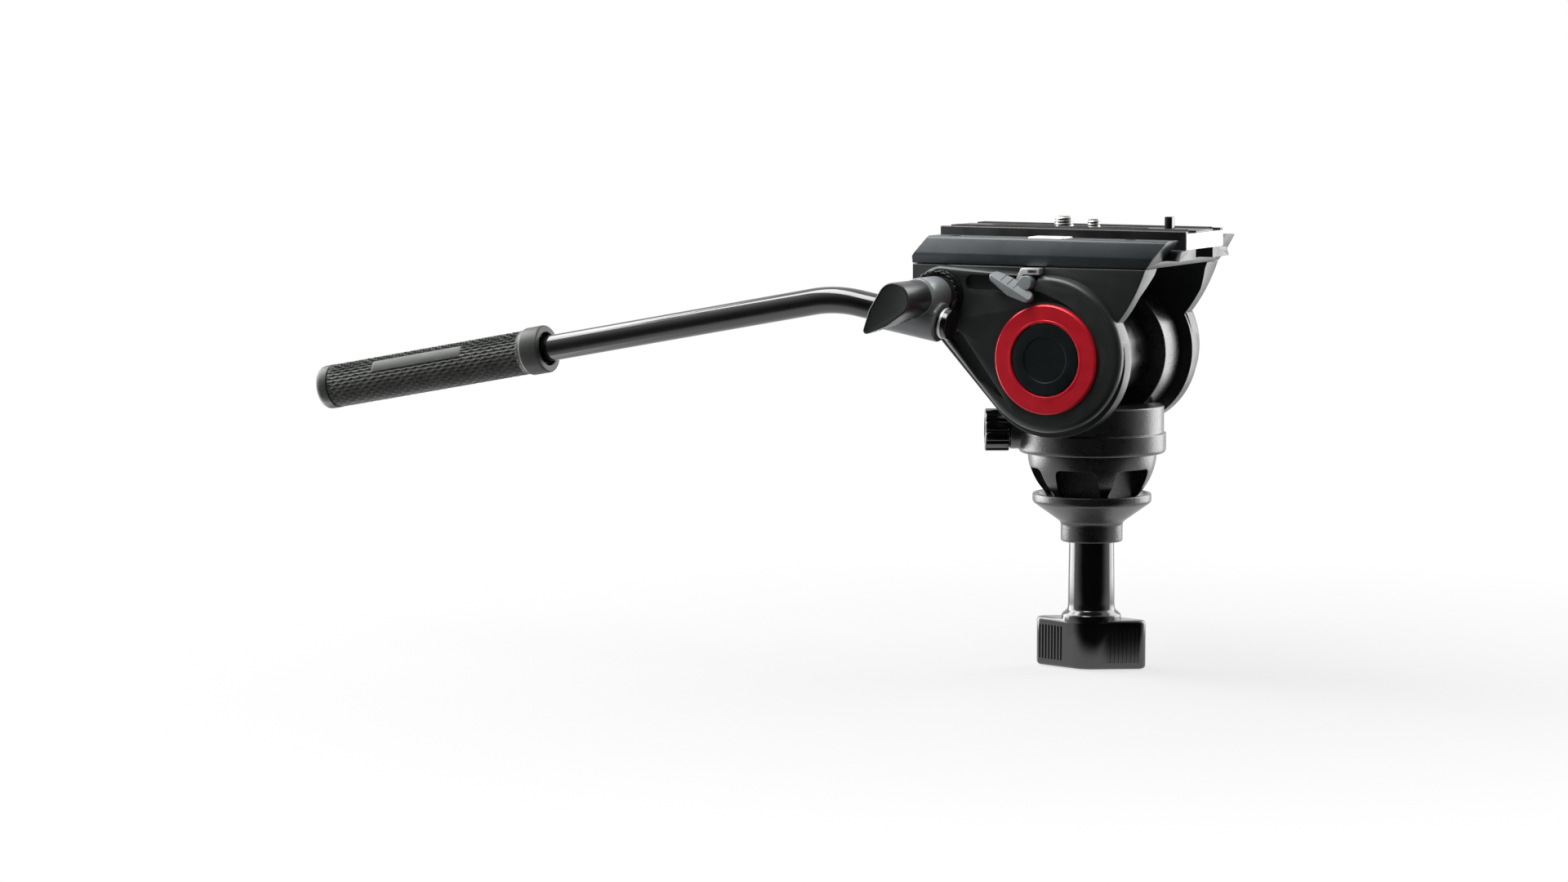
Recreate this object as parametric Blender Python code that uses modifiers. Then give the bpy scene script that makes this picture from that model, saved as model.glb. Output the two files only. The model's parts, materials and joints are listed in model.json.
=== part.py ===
"""Fluid video head with a 60 mm half ball, a sliding camera plate and a pan bar.

The origin is on the pan axis, where the pan housing turns on the half ball.
+Z is up, +X is the front of the head, and -Y is the side with the pan bar.
All lengths are in metres. Each moving group hangs from an empty on its axis.
"""

import math

import bmesh
import bpy
from mathutils import Matrix, Vector

# Shared clearances and mesh settings
SEAT = 0.0003
RUN = 0.0004
OVERRUN = 0.0030
EMBED = 0.0020
WELD = 0.00001
WIDE_SIDES = 28
SIDES = 16
FEW_SIDES = 10
ARC_STEP = math.radians(15)
SMALL_ARC = 0.0030
FACET_STEP = math.radians(1.37)

# Half ball and its stud
BALL_RADIUS = 0.0300
BALL_CENTRE_Z = 0.0010
BALL_BOTTOM_Z = -0.0240
BALL_CORE_INNER = 0.0148
BALL_FLOOR = 0.0050
BALL_BOSS_RADIUS = 0.0070
BALL_BOSS_Z = -0.0170
BALL_ARCS = 5
WINDOW_COUNT = 6
WINDOW_TOP_Z = -0.0065
WINDOW_BOTTOM_Z = -0.0200
WINDOW_WIDTH = 0.0200
WINDOW_INNER = 0.0178
WINDOW_CORNER = 0.0022
RIB_TURN = math.radians(8)
STUD_RADIUS = 0.0047
STUD_TOP_Z = 0.0100
STUD_BOTTOM_Z = -0.0680
BALL_SCREWS = 3
BALL_SCREW_CIRCLE = 0.0112
BALL_SCREW_RADIUS = 0.0020
BALL_SCREW_HEAD_RADIUS = 0.0031
BALL_SCREW_HEAD = 0.0030
BALL_SCREW_REACH = 0.0016
SOCKET_RADIUS = 0.0015
SOCKET_DEPTH = 0.0016

# Bowl clamp cup
CUP_RIM_RADIUS = 0.0277
CUP_RIM_Z = -0.0190
CUP_RIM = 0.0040
CUP_WALL = 0.0018
CUP_CONE_Z = -0.0325
COLLAR_RADIUS = 0.0144
COLLAR_BOTTOM_Z = -0.0415
COLLAR_WALL = 0.0034
COLLAR_EDGE = 0.0010
CUP_WEB = 0.0035

# Tie-down knob
SHAFT_TOP_Z = -0.0348
SHAFT_TOP_RADIUS = 0.0104
SHAFT_FOOT_RADIUS = 0.0109
SHAFT_FOOT_Z = -0.0735
SHOULDER_RADIUS = 0.0139
SHOULDER_Z = -0.0757
KNOB_BORE_Z = -0.0740
INSERT_RADIUS = 0.0078
INSERT_LENGTH = 0.0080
WING_TOP_Z = -0.0778
WING_BOTTOM_Z = -0.1006
WING_REACH = 0.0221
WING_END_RADIUS = 0.0042
WING_HUB_RADIUS = 0.0134
WING_EDGE = 0.0016
WING_TURN = math.radians(7)
GRIP_GROOVES = 8
GRIP_GROOVE_WIDTH = 0.0010
GRIP_GROOVE_DEPTH = 0.0008
GRIP_GROOVE_PITCH = 0.0019
GRIP_GROOVE_MARGIN = 0.0034

# Pan spindle stack, fixed to the ball
SPINDLE_FOOT_RADIUS = 0.0200
SPINDLE_FOOT = 0.0025
SPINDLE_RADIUS = 0.0097
PAN_CARTRIDGE_HEIGHT = 0.0044
PAN_CARTRIDGE_RADIUS = 0.0217
BRAKE_DRUM_HEIGHT = 0.0060
BRAKE_DRUM_RADIUS = 0.0200
BRAKE_GROOVE = 0.0008
PAN_BEARING_HEIGHT = 0.0030
PAN_BEARING_RADIUS = 0.0165
BEARING_LIP = 0.0006
SPINDLE_NUT_HEIGHT = 0.0026
SPINDLE_NUT_RADIUS = 0.0150

# Pan housing
FLANGE_RADIUS = 0.0343
FLANGE_TOP_Z = 0.0094
FLANGE_ROUND = 0.0022
DRUM_BASE_RADIUS = 0.0333
DRUM_BASE_TOP_Z = 0.0224
BASE_EDGE = 0.0012
CAVITY_ROOF_GAP = 0.0004
TILT_X = -0.0015
TILT_Z = 0.0463
EAR_RADIUS = 0.0317
EAR_OUTER = 0.0330
FAR_EAR_INNER = 0.0150
NEAR_EAR_INNER = 0.0250

# Counterbalance and tilt axle, between the ears
COUNTER_DRUM_RADIUS = 0.0235
COUNTER_DRUM_WALL = 0.0030
AXLE_RADIUS = 0.0060
AXLE_HALF = 0.0455
AXLE_EDGE = 0.0008
SPRING_RADIUS = 0.0130
SPRING_WIRE = 0.0016
SPRING_TURNS = 5
SPRING_POINTS = 6
TILT_BEARING_RADIUS = 0.0105
TILT_BEARING = 0.0050

# Pan lock
PAN_LOCK_TURN = math.radians(207.3)
PAN_BOSS_RADIUS = 0.0088
PAN_BOSS_REACH = 0.0386
PAN_KNOB_RADIUS = 0.0099
PAN_KNOB_LENGTH = 0.0111
PAN_KNOB_EDGE = 0.0016
PAN_KNOB_FLUTES = 12
PAN_KNOB_FLUTE = 0.0009
PAN_SCREW_RADIUS = 0.0030
PAN_SCREW_INNER = 0.0243
PAN_SCREW_GRIP = 0.0060
SHOE_LENGTH = 0.0036

# Bubble level, on the rear of the housing
LEVEL_TURN = math.radians(150)
LEVEL_CENTRE = 0.0378
LEVEL_BOSS_RADIUS = 0.0074
LEVEL_BOSS_BOTTOM_Z = 0.0040
LEVEL_BOSS_TOP_Z = 0.0176
LEVEL_RADIUS = 0.0055
LEVEL_HEIGHT = 0.0042
LEVEL_PROUD = 0.0006

# Side housings, which the work calls cheeks
CHEEK_INNER = 0.0360
CHEEK_OUTER = 0.0435
CHEEK_TOP_INNER = 0.0300
CHEEK_RADIUS = 0.0365
CHEEK_REAR_X = -0.0722
CHEEK_REAR_Z = 0.0690
CHEEK_FRONT_X = 0.0447
CHEEK_NECK_Z = 0.0632
CHEEK_BEND_X = 0.0395
CHEEK_BEND_Z = 0.0735
CHEEK_FLARE_LOW_Z = 0.0752
CHEEK_FLARE_HIGH_Z = 0.0852
RAISED_FACE = 0.0485
RAISED_LIFT = 0.0020
RAISED_RADIUS = 0.0361
RAISED_REAR_RADIUS = 0.0134
RAISED_ROUND = 0.0030
POCKET_REAR_X = -0.0425
POCKET_BEND_X = -0.0279
POCKET_TURN_X = -0.0169
POCKET_TURN_Z = 0.0733
POCKET_LOW_Z = 0.0772
POCKET_HIGH_Z = 0.0842
POCKET_DEPTH = 0.0035
POCKET_END = math.radians(106)
CRESCENT_START = math.radians(54)
CRESCENT_BEND_X = 0.0035
CRESCENT_BEND_Z = 0.0740
CRESCENT_HEEL_X = -0.0084
CRESCENT_HEEL_Z = 0.0778
CRESCENT_TIP_X = -0.0056
RING_LAND = 0.0008
GUTTER_LOW_X = -0.0226
GUTTER_LOW_Z = 0.0270
GUTTER_CREASE_X = -0.0453
GUTTER_CREASE_Z = 0.0582
GUTTER_TOP_X = -0.0518
GUTTER_TOP_Z = 0.0555
GUTTER_RIM_X = -0.0360
GUTTER_RIM_Z = 0.0352
GUTTER_DEPTH = 0.0040

# Drag cartridges, ring and caps on the tilt axis
CHEEK_WEB = 0.0015
NEAR_CARTRIDGE_RADIUS = 0.0236
FAR_CARTRIDGE_RADIUS = 0.0182
CARTRIDGE_STEP = 0.0020
NEAR_RING_RADIUS = 0.0253
NEAR_CAP_RADIUS = 0.0166
FAR_RING_RADIUS = 0.0200
FAR_CAP_RADIUS = 0.0130
RING_THICK = 0.0026
RING_EDGE = 0.0006
CAP_THICK = 0.0024
CAP_DISH = 0.0005
CAP_DISH_SHARE = 0.62

# Receiver, the channel that the camera plate slides in
RECEIVER_BOTTOM_Z = 0.0884
RECEIVER_CREASE_Z = 0.0932
RECEIVER_TOP_Z = 0.1011
RECEIVER_REAR_X = -0.0724
RECEIVER_REAR_STEP_Z = 0.0917
RECEIVER_REAR_TOP_X = -0.0655
RECEIVER_FRONT_X = 0.0449
RECEIVER_FRONT_TOP_X = 0.0542
RECEIVER_HALF_FOOT = 0.0428
RECEIVER_HALF_CREASE = 0.0437
RECEIVER_HALF_TOP = 0.0404
RECEIVER_RAIL_EDGE = 0.0012
CHANNEL_FLOOR_Z = 0.0913
CHANNEL_HALF_FLOOR = 0.0310
CHANNEL_LIP_Z = 0.0970
CHANNEL_HALF_LIP = 0.0270
CHANNEL_LIP_EDGE = 0.0012
RECEIVER_SCREW_Y = 0.0345
RECEIVER_SCREW_REAR_X = -0.0540
RECEIVER_SCREW_FRONT_X = 0.0340
RECEIVER_SCREW_RADIUS = 0.0018
RECEIVER_SCREW_HEAD_RADIUS = 0.0031
RECEIVER_SCREW_HEAD = 0.0030
RECEIVER_SCREW_SINK = 0.0008
RECEIVER_SCREW_REACH = 0.0060

# Clamp jaw in the near rail, its lever and the safety catch
JAW_REAR_X = -0.0160
JAW_FRONT_X = 0.0020
JAW_OUTER_Y = 0.0388
JAW_PROUD = 0.0006
JAW_EDGE = 0.0008
JAW_TRAVEL = 0.0008
LEVER_X = -0.0115
LEVER_Z = 0.0812
LEVER_HUB_RADIUS = 0.0032
LEVER_NECK_RADIUS = 0.0020
LEVER_NECK_SHARE = 0.35
LEVER_INNER = 0.0491
LEVER_OUTER = 0.0543
LEVER_HUB_INNER = 0.0452
PADDLE_BACK_X = -0.0257
PADDLE_BACK_Z = 0.0835
PADDLE_BACK_RADIUS = 0.0028
PADDLE_TIP_X = -0.0102
PADDLE_TIP_Z = 0.0748
PADDLE_TIP_RADIUS = 0.0026
PADDLE_EDGE = 0.0010
PADDLE_SLANT = math.radians(55)
PADDLE_GROOVES = 3
PADDLE_GROOVE_WIDTH = 0.0008
PADDLE_GROOVE_DEPTH = 0.0006
PADDLE_GROOVE_PITCH = 0.0042
LEVER_SHAFT_RADIUS = 0.0018
LEVER_SHAFT_INNER = 0.0335
CATCH_WIDTH = 0.0094
CATCH_HEIGHT = 0.0030
CATCH_X = -0.0102
CATCH_OUTER = 0.0488
CATCH_INNER = 0.0405
CATCH_EDGE = 0.0005
CATCH_RECESS = 0.0040
CATCH_TRAVEL = 0.0016

# Tilt lock on the far side
TILT_LOCK_TURN = math.radians(140)
TILT_LOCK_CIRCLE = 0.0279
TILT_LOCK_HUB_RADIUS = 0.0062
TILT_LOCK_INNER = 0.0490
TILT_LOCK_OUTER = 0.0560
TILT_LOCK_ARM = 0.0290
TILT_LOCK_ARM_TURN = math.radians(196)
TILT_LOCK_TIP_RADIUS = 0.0040
TILT_LOCK_ARM_INNER = 0.0510
TILT_LOCK_SCREW_RADIUS = 0.0027
BRAKE_PAD_RADIUS = 0.0032

# Pan bar rosettes and holder
ROSETTE_X = -0.0554
ROSETTE_Z = 0.0746
ROSETTE_RADIUS = 0.0114
ROSETTE_SEAT = 0.0440
ROSETTE_FACE = 0.0501
ROSETTE_TEETH = 12
ROSETTE_TOOTH_DEPTH = 0.0009
ROSETTE_TOOTH_INNER = 0.0072
ROSETTE_BORE = 0.0046
HOLDER_RING = 0.0044
HOLDER_NOTCHES = 24
HOLDER_NOTCH = 0.0005
HOLDER_RADIUS = 0.0087
HOLDER_OUTER = 0.0737
HOLDER_BAND = 0.0008
BOLT_RADIUS = 0.0028
BOLT_INNER = 0.0458
BAR_Y = -0.0645
BAR_DROP = 0.0103
SLEEVE_RADIUS = 0.0092
SLEEVE_FRONT = 0.0085
SLEEVE_REAR = 0.0205
SLEEVE_EDGE = 0.0008
SLEEVE_SLIT = 0.0012

# Pan bar tube and grip
BAR_RADIUS = 0.0062
BAR_FRONT_ANGLE = math.radians(10.3)
BAR_REAR_ANGLE = math.radians(10.6)
BAR_CORNER = 0.0457
BAR_BEND_RADIUS = 0.0650
BAR_BEND_STEPS = 8
BAR_WALL = 0.0015
GRIP_START = 0.1563
GRIP_LENGTH = 0.1276
GRIP_RADIUS = 0.0106
GRIP_COLLAR_RADIUS = 0.0114
GRIP_COLLAR = 0.0090
GRIP_MOUTH = 0.0015
GRIP_MOUTH_DEPTH = 0.0040
GRIP_END = 0.0070
GRIP_END_EDGE = 0.0020
GRIP_END_PLUG = 0.0060
BAR_END_GAP = 0.0026
PLUG_RADIUS = 0.0071
PLUG_HEAD = 0.0048
PLUG_EDGE = 0.0008
PLUG_GROOVE = 0.0004
PLUG_TAIL = 0.0080

# Wing knob that clamps the pan bar
CLAMP_HUB_RADIUS = 0.0080
CLAMP_HUB_INNER = 0.0741
CLAMP_HUB_OUTER = 0.0985
CLAMP_WING_REACH = 0.0195
CLAMP_WING_TURN = math.radians(226)
CLAMP_WING_TIP = 0.0016
CLAMP_WING_TIP_DEPTH = 0.0040
CLAMP_EDGE = 0.0009
CLAMP_BOLT_GRIP = 0.0140

# Camera plate and its screws
PLATE_REAR_X = -0.0682
PLATE_LENGTH = 0.1240
PLATE_TOP_Z = 0.1048
PLATE_HALF_TOP = 0.0222
PLATE_BASE = 0.0044
PLATE_EDGE = 0.0006
PLATE_CHANNEL_HALF = 0.0100
PLATE_CHANNEL_TOP_Z = 0.0981
PAD_Y = 0.0145
PAD_WIDTH = 0.0085
PAD_DEPTH = 0.0010
PAD_PROUD = 0.0005
PAD_MARGIN = 0.0040
PAD_RIBS = 3
SLOT_REAR_X = -0.0480
SLOT_TO_FRONT = 0.0318
LARGE_SCREW_X = -0.0148
LARGE_THREAD_RADIUS = 0.0046
LARGE_THREAD_RISE = 0.0048
SMALL_SCREW_X = 0.0003
SMALL_THREAD_RADIUS = 0.0031
SMALL_THREAD_RISE = 0.0037
SMALL_COLLAR_DROP = 0.0010
SCREW_HEAD_RADIUS = 0.0068
SCREW_HEAD = 0.0046
SCREW_SLOT_WIDTH = 0.0016
SCREW_SLOT_DEPTH = 0.0016
SCREW_POINT = 0.0007
THREAD_PITCH = 0.0014
THREAD_DEPTH = 0.0005
PIN_TO_FRONT = 0.0176
PIN_WIDTH = 0.0038
PIN_RISE = 0.0056
PIN_FLANGE_RADIUS = 0.0040
PIN_FLANGE = 0.0016
PIN_POCKET_RADIUS = 0.0044
PIN_POCKET_TOP_Z = 0.1032
PIN_SPRING_WIRE = 0.0003
PIN_SPRING_RADIUS = 0.0033
PIN_SPRING_TURNS = 3
PIN_SPRING_POINTS = 6

# Ways of turning a piece that is drawn lying flat or standing up
UPRIGHT = (0, 0, 0)
TO_NEAR = (math.pi / 2, 0, 0)
TO_FAR = (-math.pi / 2, 0, 0)
ALONG_X = (math.pi / 2, 0, math.pi / 2)
HALF_TURN = math.pi
NEAR = -1
FAR = 1

# Heights and depths worked out from the sizes above
BALL_TOP_Z = -RUN
FOOT_BOTTOM_Z = BALL_TOP_Z + SEAT
FOOT_TOP_Z = FOOT_BOTTOM_Z + SPINDLE_FOOT
CARTRIDGE_BOTTOM_Z = FOOT_TOP_Z + SEAT
CARTRIDGE_TOP_Z = CARTRIDGE_BOTTOM_Z + PAN_CARTRIDGE_HEIGHT
BRAKE_BOTTOM_Z = CARTRIDGE_TOP_Z + SEAT
BRAKE_TOP_Z = BRAKE_BOTTOM_Z + BRAKE_DRUM_HEIGHT
BEARING_BOTTOM_Z = BRAKE_TOP_Z + SEAT
BEARING_TOP_Z = BEARING_BOTTOM_Z + PAN_BEARING_HEIGHT
NUT_BOTTOM_Z = BEARING_TOP_Z + SEAT
NUT_TOP_Z = NUT_BOTTOM_Z + SPINDLE_NUT_HEIGHT
PAN_LOCK_Z = (BRAKE_BOTTOM_Z + BRAKE_TOP_Z) / 2
CHEEK_TOP_Z = RECEIVER_BOTTOM_Z - SEAT
BAR_AXIS_Z = ROSETTE_Z - BAR_DROP
PAN_KNOB_REACH = PAN_BOSS_REACH + SEAT + PAN_KNOB_LENGTH
BAR_IN_GRIP = GRIP_LENGTH - GRIP_END - GRIP_END_PLUG - BAR_END_GAP
PLATE_FRONT_X = PLATE_REAR_X + PLATE_LENGTH
SLOT_FRONT_X = PLATE_FRONT_X - SLOT_TO_FRONT
PIN_X = PLATE_FRONT_X - PIN_TO_FRONT


def on_circle(centre, radius, angle):
    """The point of a circle at an angle from its first axis."""
    return (centre[0] + radius * math.cos(angle), centre[1] + radius * math.sin(angle))


def arc(centre, radius, start, end):
    """Points along an arc, both ends included, with longer steps on a small circle."""
    step = ARC_STEP if radius > SMALL_ARC else 2 * ARC_STEP
    count = max(2, math.ceil(abs(end - start) / step))
    return [on_circle(centre, radius, start + (end - start) * i / count) for i in range(count + 1)]


def belt(centre_a, radius_a, centre_b, radius_b):
    """The outline of a belt that runs round two circles."""
    across = Vector(centre_b) - Vector(centre_a)
    heading = math.atan2(across.y, across.x)
    lean = math.acos((radius_a - radius_b) / across.length)
    round_a = arc(centre_a, radius_a, heading + lean, heading + math.tau - lean)
    round_b = arc(centre_b, radius_b, heading - lean, heading + lean)
    return round_a + round_b


def tangent_angle(point, centre, radius):
    """The angle on a circle where a straight line from a point at its left meets it from below."""
    across = Vector(point) - Vector(centre)
    return math.atan2(across.y, across.x) + math.acos(radius / across.length)


def curved(start, bend, end, steps):
    """Points along a curve from start to end that leans towards bend, without its two ends."""
    points = []
    for i in range(1, steps):
        t = i / steps
        points.append(tuple(
            (1 - t) ** 2 * a + 2 * t * (1 - t) * b + t * t * c for a, b, c in zip(start, bend, end)
        ))
    return points


def rounded(low, high, radius):
    """The outline of an upright rectangle between two corners, its corners rounded."""
    quarter = math.pi / 2
    return (arc((high[0] - radius, high[1] - radius), radius, 0, quarter)
            + arc((low[0] + radius, high[1] - radius), radius, quarter, 2 * quarter)
            + arc((low[0] + radius, low[1] + radius), radius, 2 * quarter, 3 * quarter)
            + arc((high[0] - radius, low[1] + radius), radius, 3 * quarter, 4 * quarter))


def toothed(radius, depth, count):
    """The outline of a disc with square notches round its rim."""
    points = []
    pitch = math.tau / count
    for i in range(count):
        for share, reach in ((0, radius), (1 / 2, radius), (1 / 2, radius - depth), (1, radius - depth)):
            points.append(on_circle((0, 0), reach, (i + share) * pitch))
    return points


def clear_scene():
    for obj in list(bpy.data.objects):
        bpy.data.objects.remove(obj)


def new_collection(name):
    collection = bpy.data.collections.new(name)
    bpy.context.scene.collection.children.link(collection)
    return collection


clear_scene()
PARTS = new_collection("fluid_video_head")
CUTTERS = new_collection("cutters")


def finish(name, colour, roughness, metallic=0.0):
    """A Principled material with one colour, roughness and metallic value."""
    material = bpy.data.materials.new(name)
    material.use_nodes = True
    shader = material.node_tree.nodes["Principled BSDF"]
    shader.inputs["Base Color"].default_value = (*colour, 1)
    shader.inputs["Roughness"].default_value = roughness
    shader.inputs["Metallic"].default_value = metallic
    return material


CAST_PAINT = finish("cast_paint", (0.045, 0.047, 0.047), 0.45, 0.3)
SIDE_MOULDING = finish("side_moulding", (0.030, 0.036, 0.034), 0.5)
RECEIVER_PAINT = finish("receiver_paint", (0.060, 0.065, 0.068), 0.5)
BLACK_PLASTIC = finish("black_plastic", (0.015, 0.015, 0.015), 0.4)
RED_ANODISED = finish("red_anodised", (0.45, 0.010, 0.030), 0.3, 0.8)
CAP_PLASTIC = finish("cap_plastic", (0.030, 0.040, 0.038), 0.55)
STEEL = finish("steel", (0.60, 0.60, 0.60), 0.25, 1.0)
BRASS = finish("brass", (0.60, 0.45, 0.20), 0.35, 1.0)
ALUMINIUM = finish("aluminium", (0.70, 0.70, 0.68), 0.35, 1.0)
BLACK_ANODISED = finish("black_anodised", (0.020, 0.020, 0.021), 0.35, 0.6)
GLOSS_TUBE = finish("gloss_tube", (0.012, 0.012, 0.013), 0.18, 0.4)
GRIP_RUBBER = finish("grip_rubber", (0.035, 0.042, 0.038), 0.75)
PLATE_RUBBER = finish("plate_rubber", (0.012, 0.012, 0.012), 0.85)
GREY_PLASTIC = finish("grey_plastic", (0.090, 0.094, 0.094), 0.5)
LEVEL_GLASS = finish("level_glass", (0.55, 0.70, 0.20), 0.1)


def joint(name, at, parent=None):
    """An empty on a joint's axis, which carries the pieces that move with it."""
    obj = bpy.data.objects.new(name, None)
    PARTS.objects.link(obj)
    if parent:
        obj.parent = parent
        obj.location = Vector(at) - world_place(parent)
    else:
        obj.location = at
    return obj


def world_place(obj):
    place = Vector(obj.location)
    while obj.parent:
        obj = obj.parent
        place += Vector(obj.location)
    return place


def put(obj, body, at=(0, 0, 0), turn=UPRIGHT):
    """Parents an object to a body's empty, at a place given in the head's own frame."""
    obj.parent = body
    obj.location = Vector(at) - world_place(body)
    obj.rotation_euler = turn
    return obj


def add(name, mesh, material):
    """A new object, which is a part where it has a material and a cutter where it has none."""
    obj = bpy.data.objects.new(name, mesh)
    if material:
        mesh.materials.append(material)
        PARTS.objects.link(obj)
    else:
        CUTTERS.objects.link(obj)
        obj.hide_render = True
        obj.display_type = "WIRE"
    return obj


def turned(name, outline, material=None, sides=SIDES):
    """A turned piece. Its outline of (radius, height) runs down the outer side, and is a loop
    where it doesn't start on the axis. Each piece starts at an angle of its own, so that the
    facets of two pieces in one Boolean don't line up."""
    start = len(bpy.data.meshes) * FACET_STEP
    mesh = bpy.data.meshes.new(name)
    links = [(i, i + 1) for i in range(len(outline) - 1) if outline[i][0] or outline[i + 1][0]]
    if outline[0][0] > 0:
        links.append((len(outline) - 1, 0))
    mesh.from_pydata([(*on_circle((0, 0), radius, start), height) for radius, height in outline], links, [])
    obj = add(name, mesh, material)
    screw = obj.modifiers.new("Turn", "SCREW")
    screw.angle = math.tau
    screw.steps = sides
    screw.render_steps = sides
    screw.use_merge_vertices = True
    screw.merge_threshold = WELD
    screw.use_smooth_shade = True
    return obj


def rod(name, radius, low, high, material=None, sides=SIDES, edge=0.0):
    """A round rod between two heights, with its ends chamfered where edge isn't zero."""
    outline = [(0, high), (radius - edge, high)]
    if edge:
        outline += [(radius, high - edge), (radius, low + edge)]
    outline += [(radius - edge, low), (0, low)]
    return turned(name, outline, material, sides)


def ring(name, inner, outer, low, high, material=None, sides=SIDES, edge=0.0):
    """A flat ring between two heights, its outer edges chamfered where edge isn't zero."""
    outline = [(inner, high), (outer - edge, high)]
    if edge:
        outline += [(outer, high - edge), (outer, low + edge)]
    outline += [(outer - edge, low), (inner, low)]
    return turned(name, outline, material, sides)


def mesh_of(curve):
    """The welded mesh that a curve object shows, in the curve object's own frame."""
    graph = bpy.context.evaluated_depsgraph_get()
    mesh = bpy.data.meshes.new_from_object(curve.evaluated_get(graph))
    bpy.data.objects.remove(curve)
    work = bmesh.new()
    work.from_mesh(mesh)
    bmesh.ops.remove_doubles(work, verts=work.verts, dist=WELD)
    bmesh.ops.recalc_face_normals(work, faces=work.faces)
    work.to_mesh(mesh)
    work.free()
    mesh.materials.clear()
    return mesh


def extruded(name, outline, thickness, material=None):
    """A flat outline given a thickness, half of it on each side of its plane."""
    curve = bpy.data.curves.new(name, "CURVE")
    curve.dimensions = "2D"
    curve.fill_mode = "BOTH"
    curve.extrude = thickness / 2
    spline = curve.splines.new("POLY")
    spline.points.add(len(outline) - 1)
    for point, (x, y) in zip(spline.points, outline):
        point.co = (x, y, 0, 1)
    spline.use_cyclic_u = True
    guide = bpy.data.objects.new(name, curve)
    bpy.context.scene.collection.objects.link(guide)
    mesh = mesh_of(guide)
    mesh.name = name
    return add(name, mesh, material)


def tube(name, points, radius, material=None, resolution=4):
    """A round bar or wire along points, made a mesh so that it can be cut."""
    curve = bpy.data.curves.new(name, "CURVE")
    curve.dimensions = "3D"
    curve.bevel_depth = radius
    curve.bevel_resolution = resolution
    curve.use_fill_caps = True
    spline = curve.splines.new("POLY")
    spline.points.add(len(points) - 1)
    for point, place in zip(spline.points, points):
        point.co = (*place, 1)
    guide = bpy.data.objects.new(name, curve)
    bpy.context.scene.collection.objects.link(guide)
    mesh = mesh_of(guide)
    mesh.name = name
    return add(name, mesh, material)


def block(name, low, high, material=None):
    """A box between two corners, with its origin at its centre."""
    mesh = bpy.data.meshes.new(name)
    work = bmesh.new()
    bmesh.ops.create_cube(work, size=1)
    bmesh.ops.scale(work, vec=Vector(high) - Vector(low), verts=work.verts)
    work.to_mesh(mesh)
    work.free()
    obj = add(name, mesh, material)
    obj.location = (Vector(low) + Vector(high)) / 2
    return obj


def put_block(name, low, high, body, material=None):
    """A box between two corners of the head's own frame, on a body."""
    obj = block(name, low, high, material)
    return put(obj, body, (Vector(low) + Vector(high)) / 2)


def soften(obj, width, segments=2, angle=math.radians(40)):
    """Rounds the edges that are sharper than an angle."""
    bevel = obj.modifiers.new("Soften", "BEVEL")
    bevel.width = width
    bevel.segments = segments
    bevel.limit_method = "ANGLE"
    bevel.angle_limit = angle
    return obj


def boolean(target, other, operation):
    modifier = target.modifiers.new(operation.title() + "_" + other.name, "BOOLEAN")
    modifier.operation = operation
    modifier.object = other
    modifier.solver = "EXACT"


def cut(target, *cutters):
    for cutter in cutters:
        boolean(target, cutter, "DIFFERENCE")
    return target


def join(target, *others):
    for other in others:
        boolean(target, other, "UNION")
    return target


def side_piece(obj, body, side, near, far, at=(TILT_X, TILT_Z)):
    """Stands an extruded outline on edge, between two distances from the middle plane."""
    return put(obj, body, (at[0], side * (near + far) / 2, at[1]), TO_NEAR)


def turned_on_side(obj, body, side, at=(TILT_X, TILT_Z)):
    """Lays a turned piece so that its heights become distances from the middle plane."""
    return put(obj, body, (at[0], 0, at[1]), TO_FAR if side == FAR else TO_NEAR)


def make_half_ball(body):
    """The ball casting: six deep windows round a hollow core with a boss in its middle."""
    centre = (0, BALL_CENTRE_Z)
    top = math.asin((BALL_TOP_Z - BALL_CENTRE_Z) / BALL_RADIUS)
    bottom = math.asin((BALL_BOTTOM_Z - BALL_CENTRE_Z) / BALL_RADIUS)
    floor = BALL_TOP_Z - BALL_FLOOR
    bore = STUD_RADIUS + SEAT
    outline = [(bore, BALL_TOP_Z)]
    outline += [on_circle(centre, BALL_RADIUS, top + (bottom - top) * i / BALL_ARCS)
                for i in range(BALL_ARCS + 1)]
    outline += [(BALL_CORE_INNER, BALL_BOTTOM_Z), (BALL_CORE_INNER, floor)]
    outline += [(BALL_BOSS_RADIUS, floor), (BALL_BOSS_RADIUS, BALL_BOSS_Z), (bore, BALL_BOSS_Z)]
    ball = put(turned("half_ball", outline, CAST_PAINT, WIDE_SIDES), body)
    for i in range(WINDOW_COUNT):
        angle = RIB_TURN + math.tau * (i + 1 / 2) / WINDOW_COUNT
        low = (WINDOW_INNER, -WINDOW_WIDTH / 2, WINDOW_BOTTOM_Z)
        high = (BALL_RADIUS + OVERRUN, WINDOW_WIDTH / 2, WINDOW_TOP_Z)
        window = extruded(f"window_cutter_{i + 1}", rounded(low[1:], high[1:], WINDOW_CORNER),
                          high[0] - low[0])
        put(window, body, (*on_circle((0, 0), (low[0] + high[0]) / 2, angle), 0),
            (math.pi / 2, 0, math.pi / 2 + angle))
        cut(ball, window)
    return ball


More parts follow.
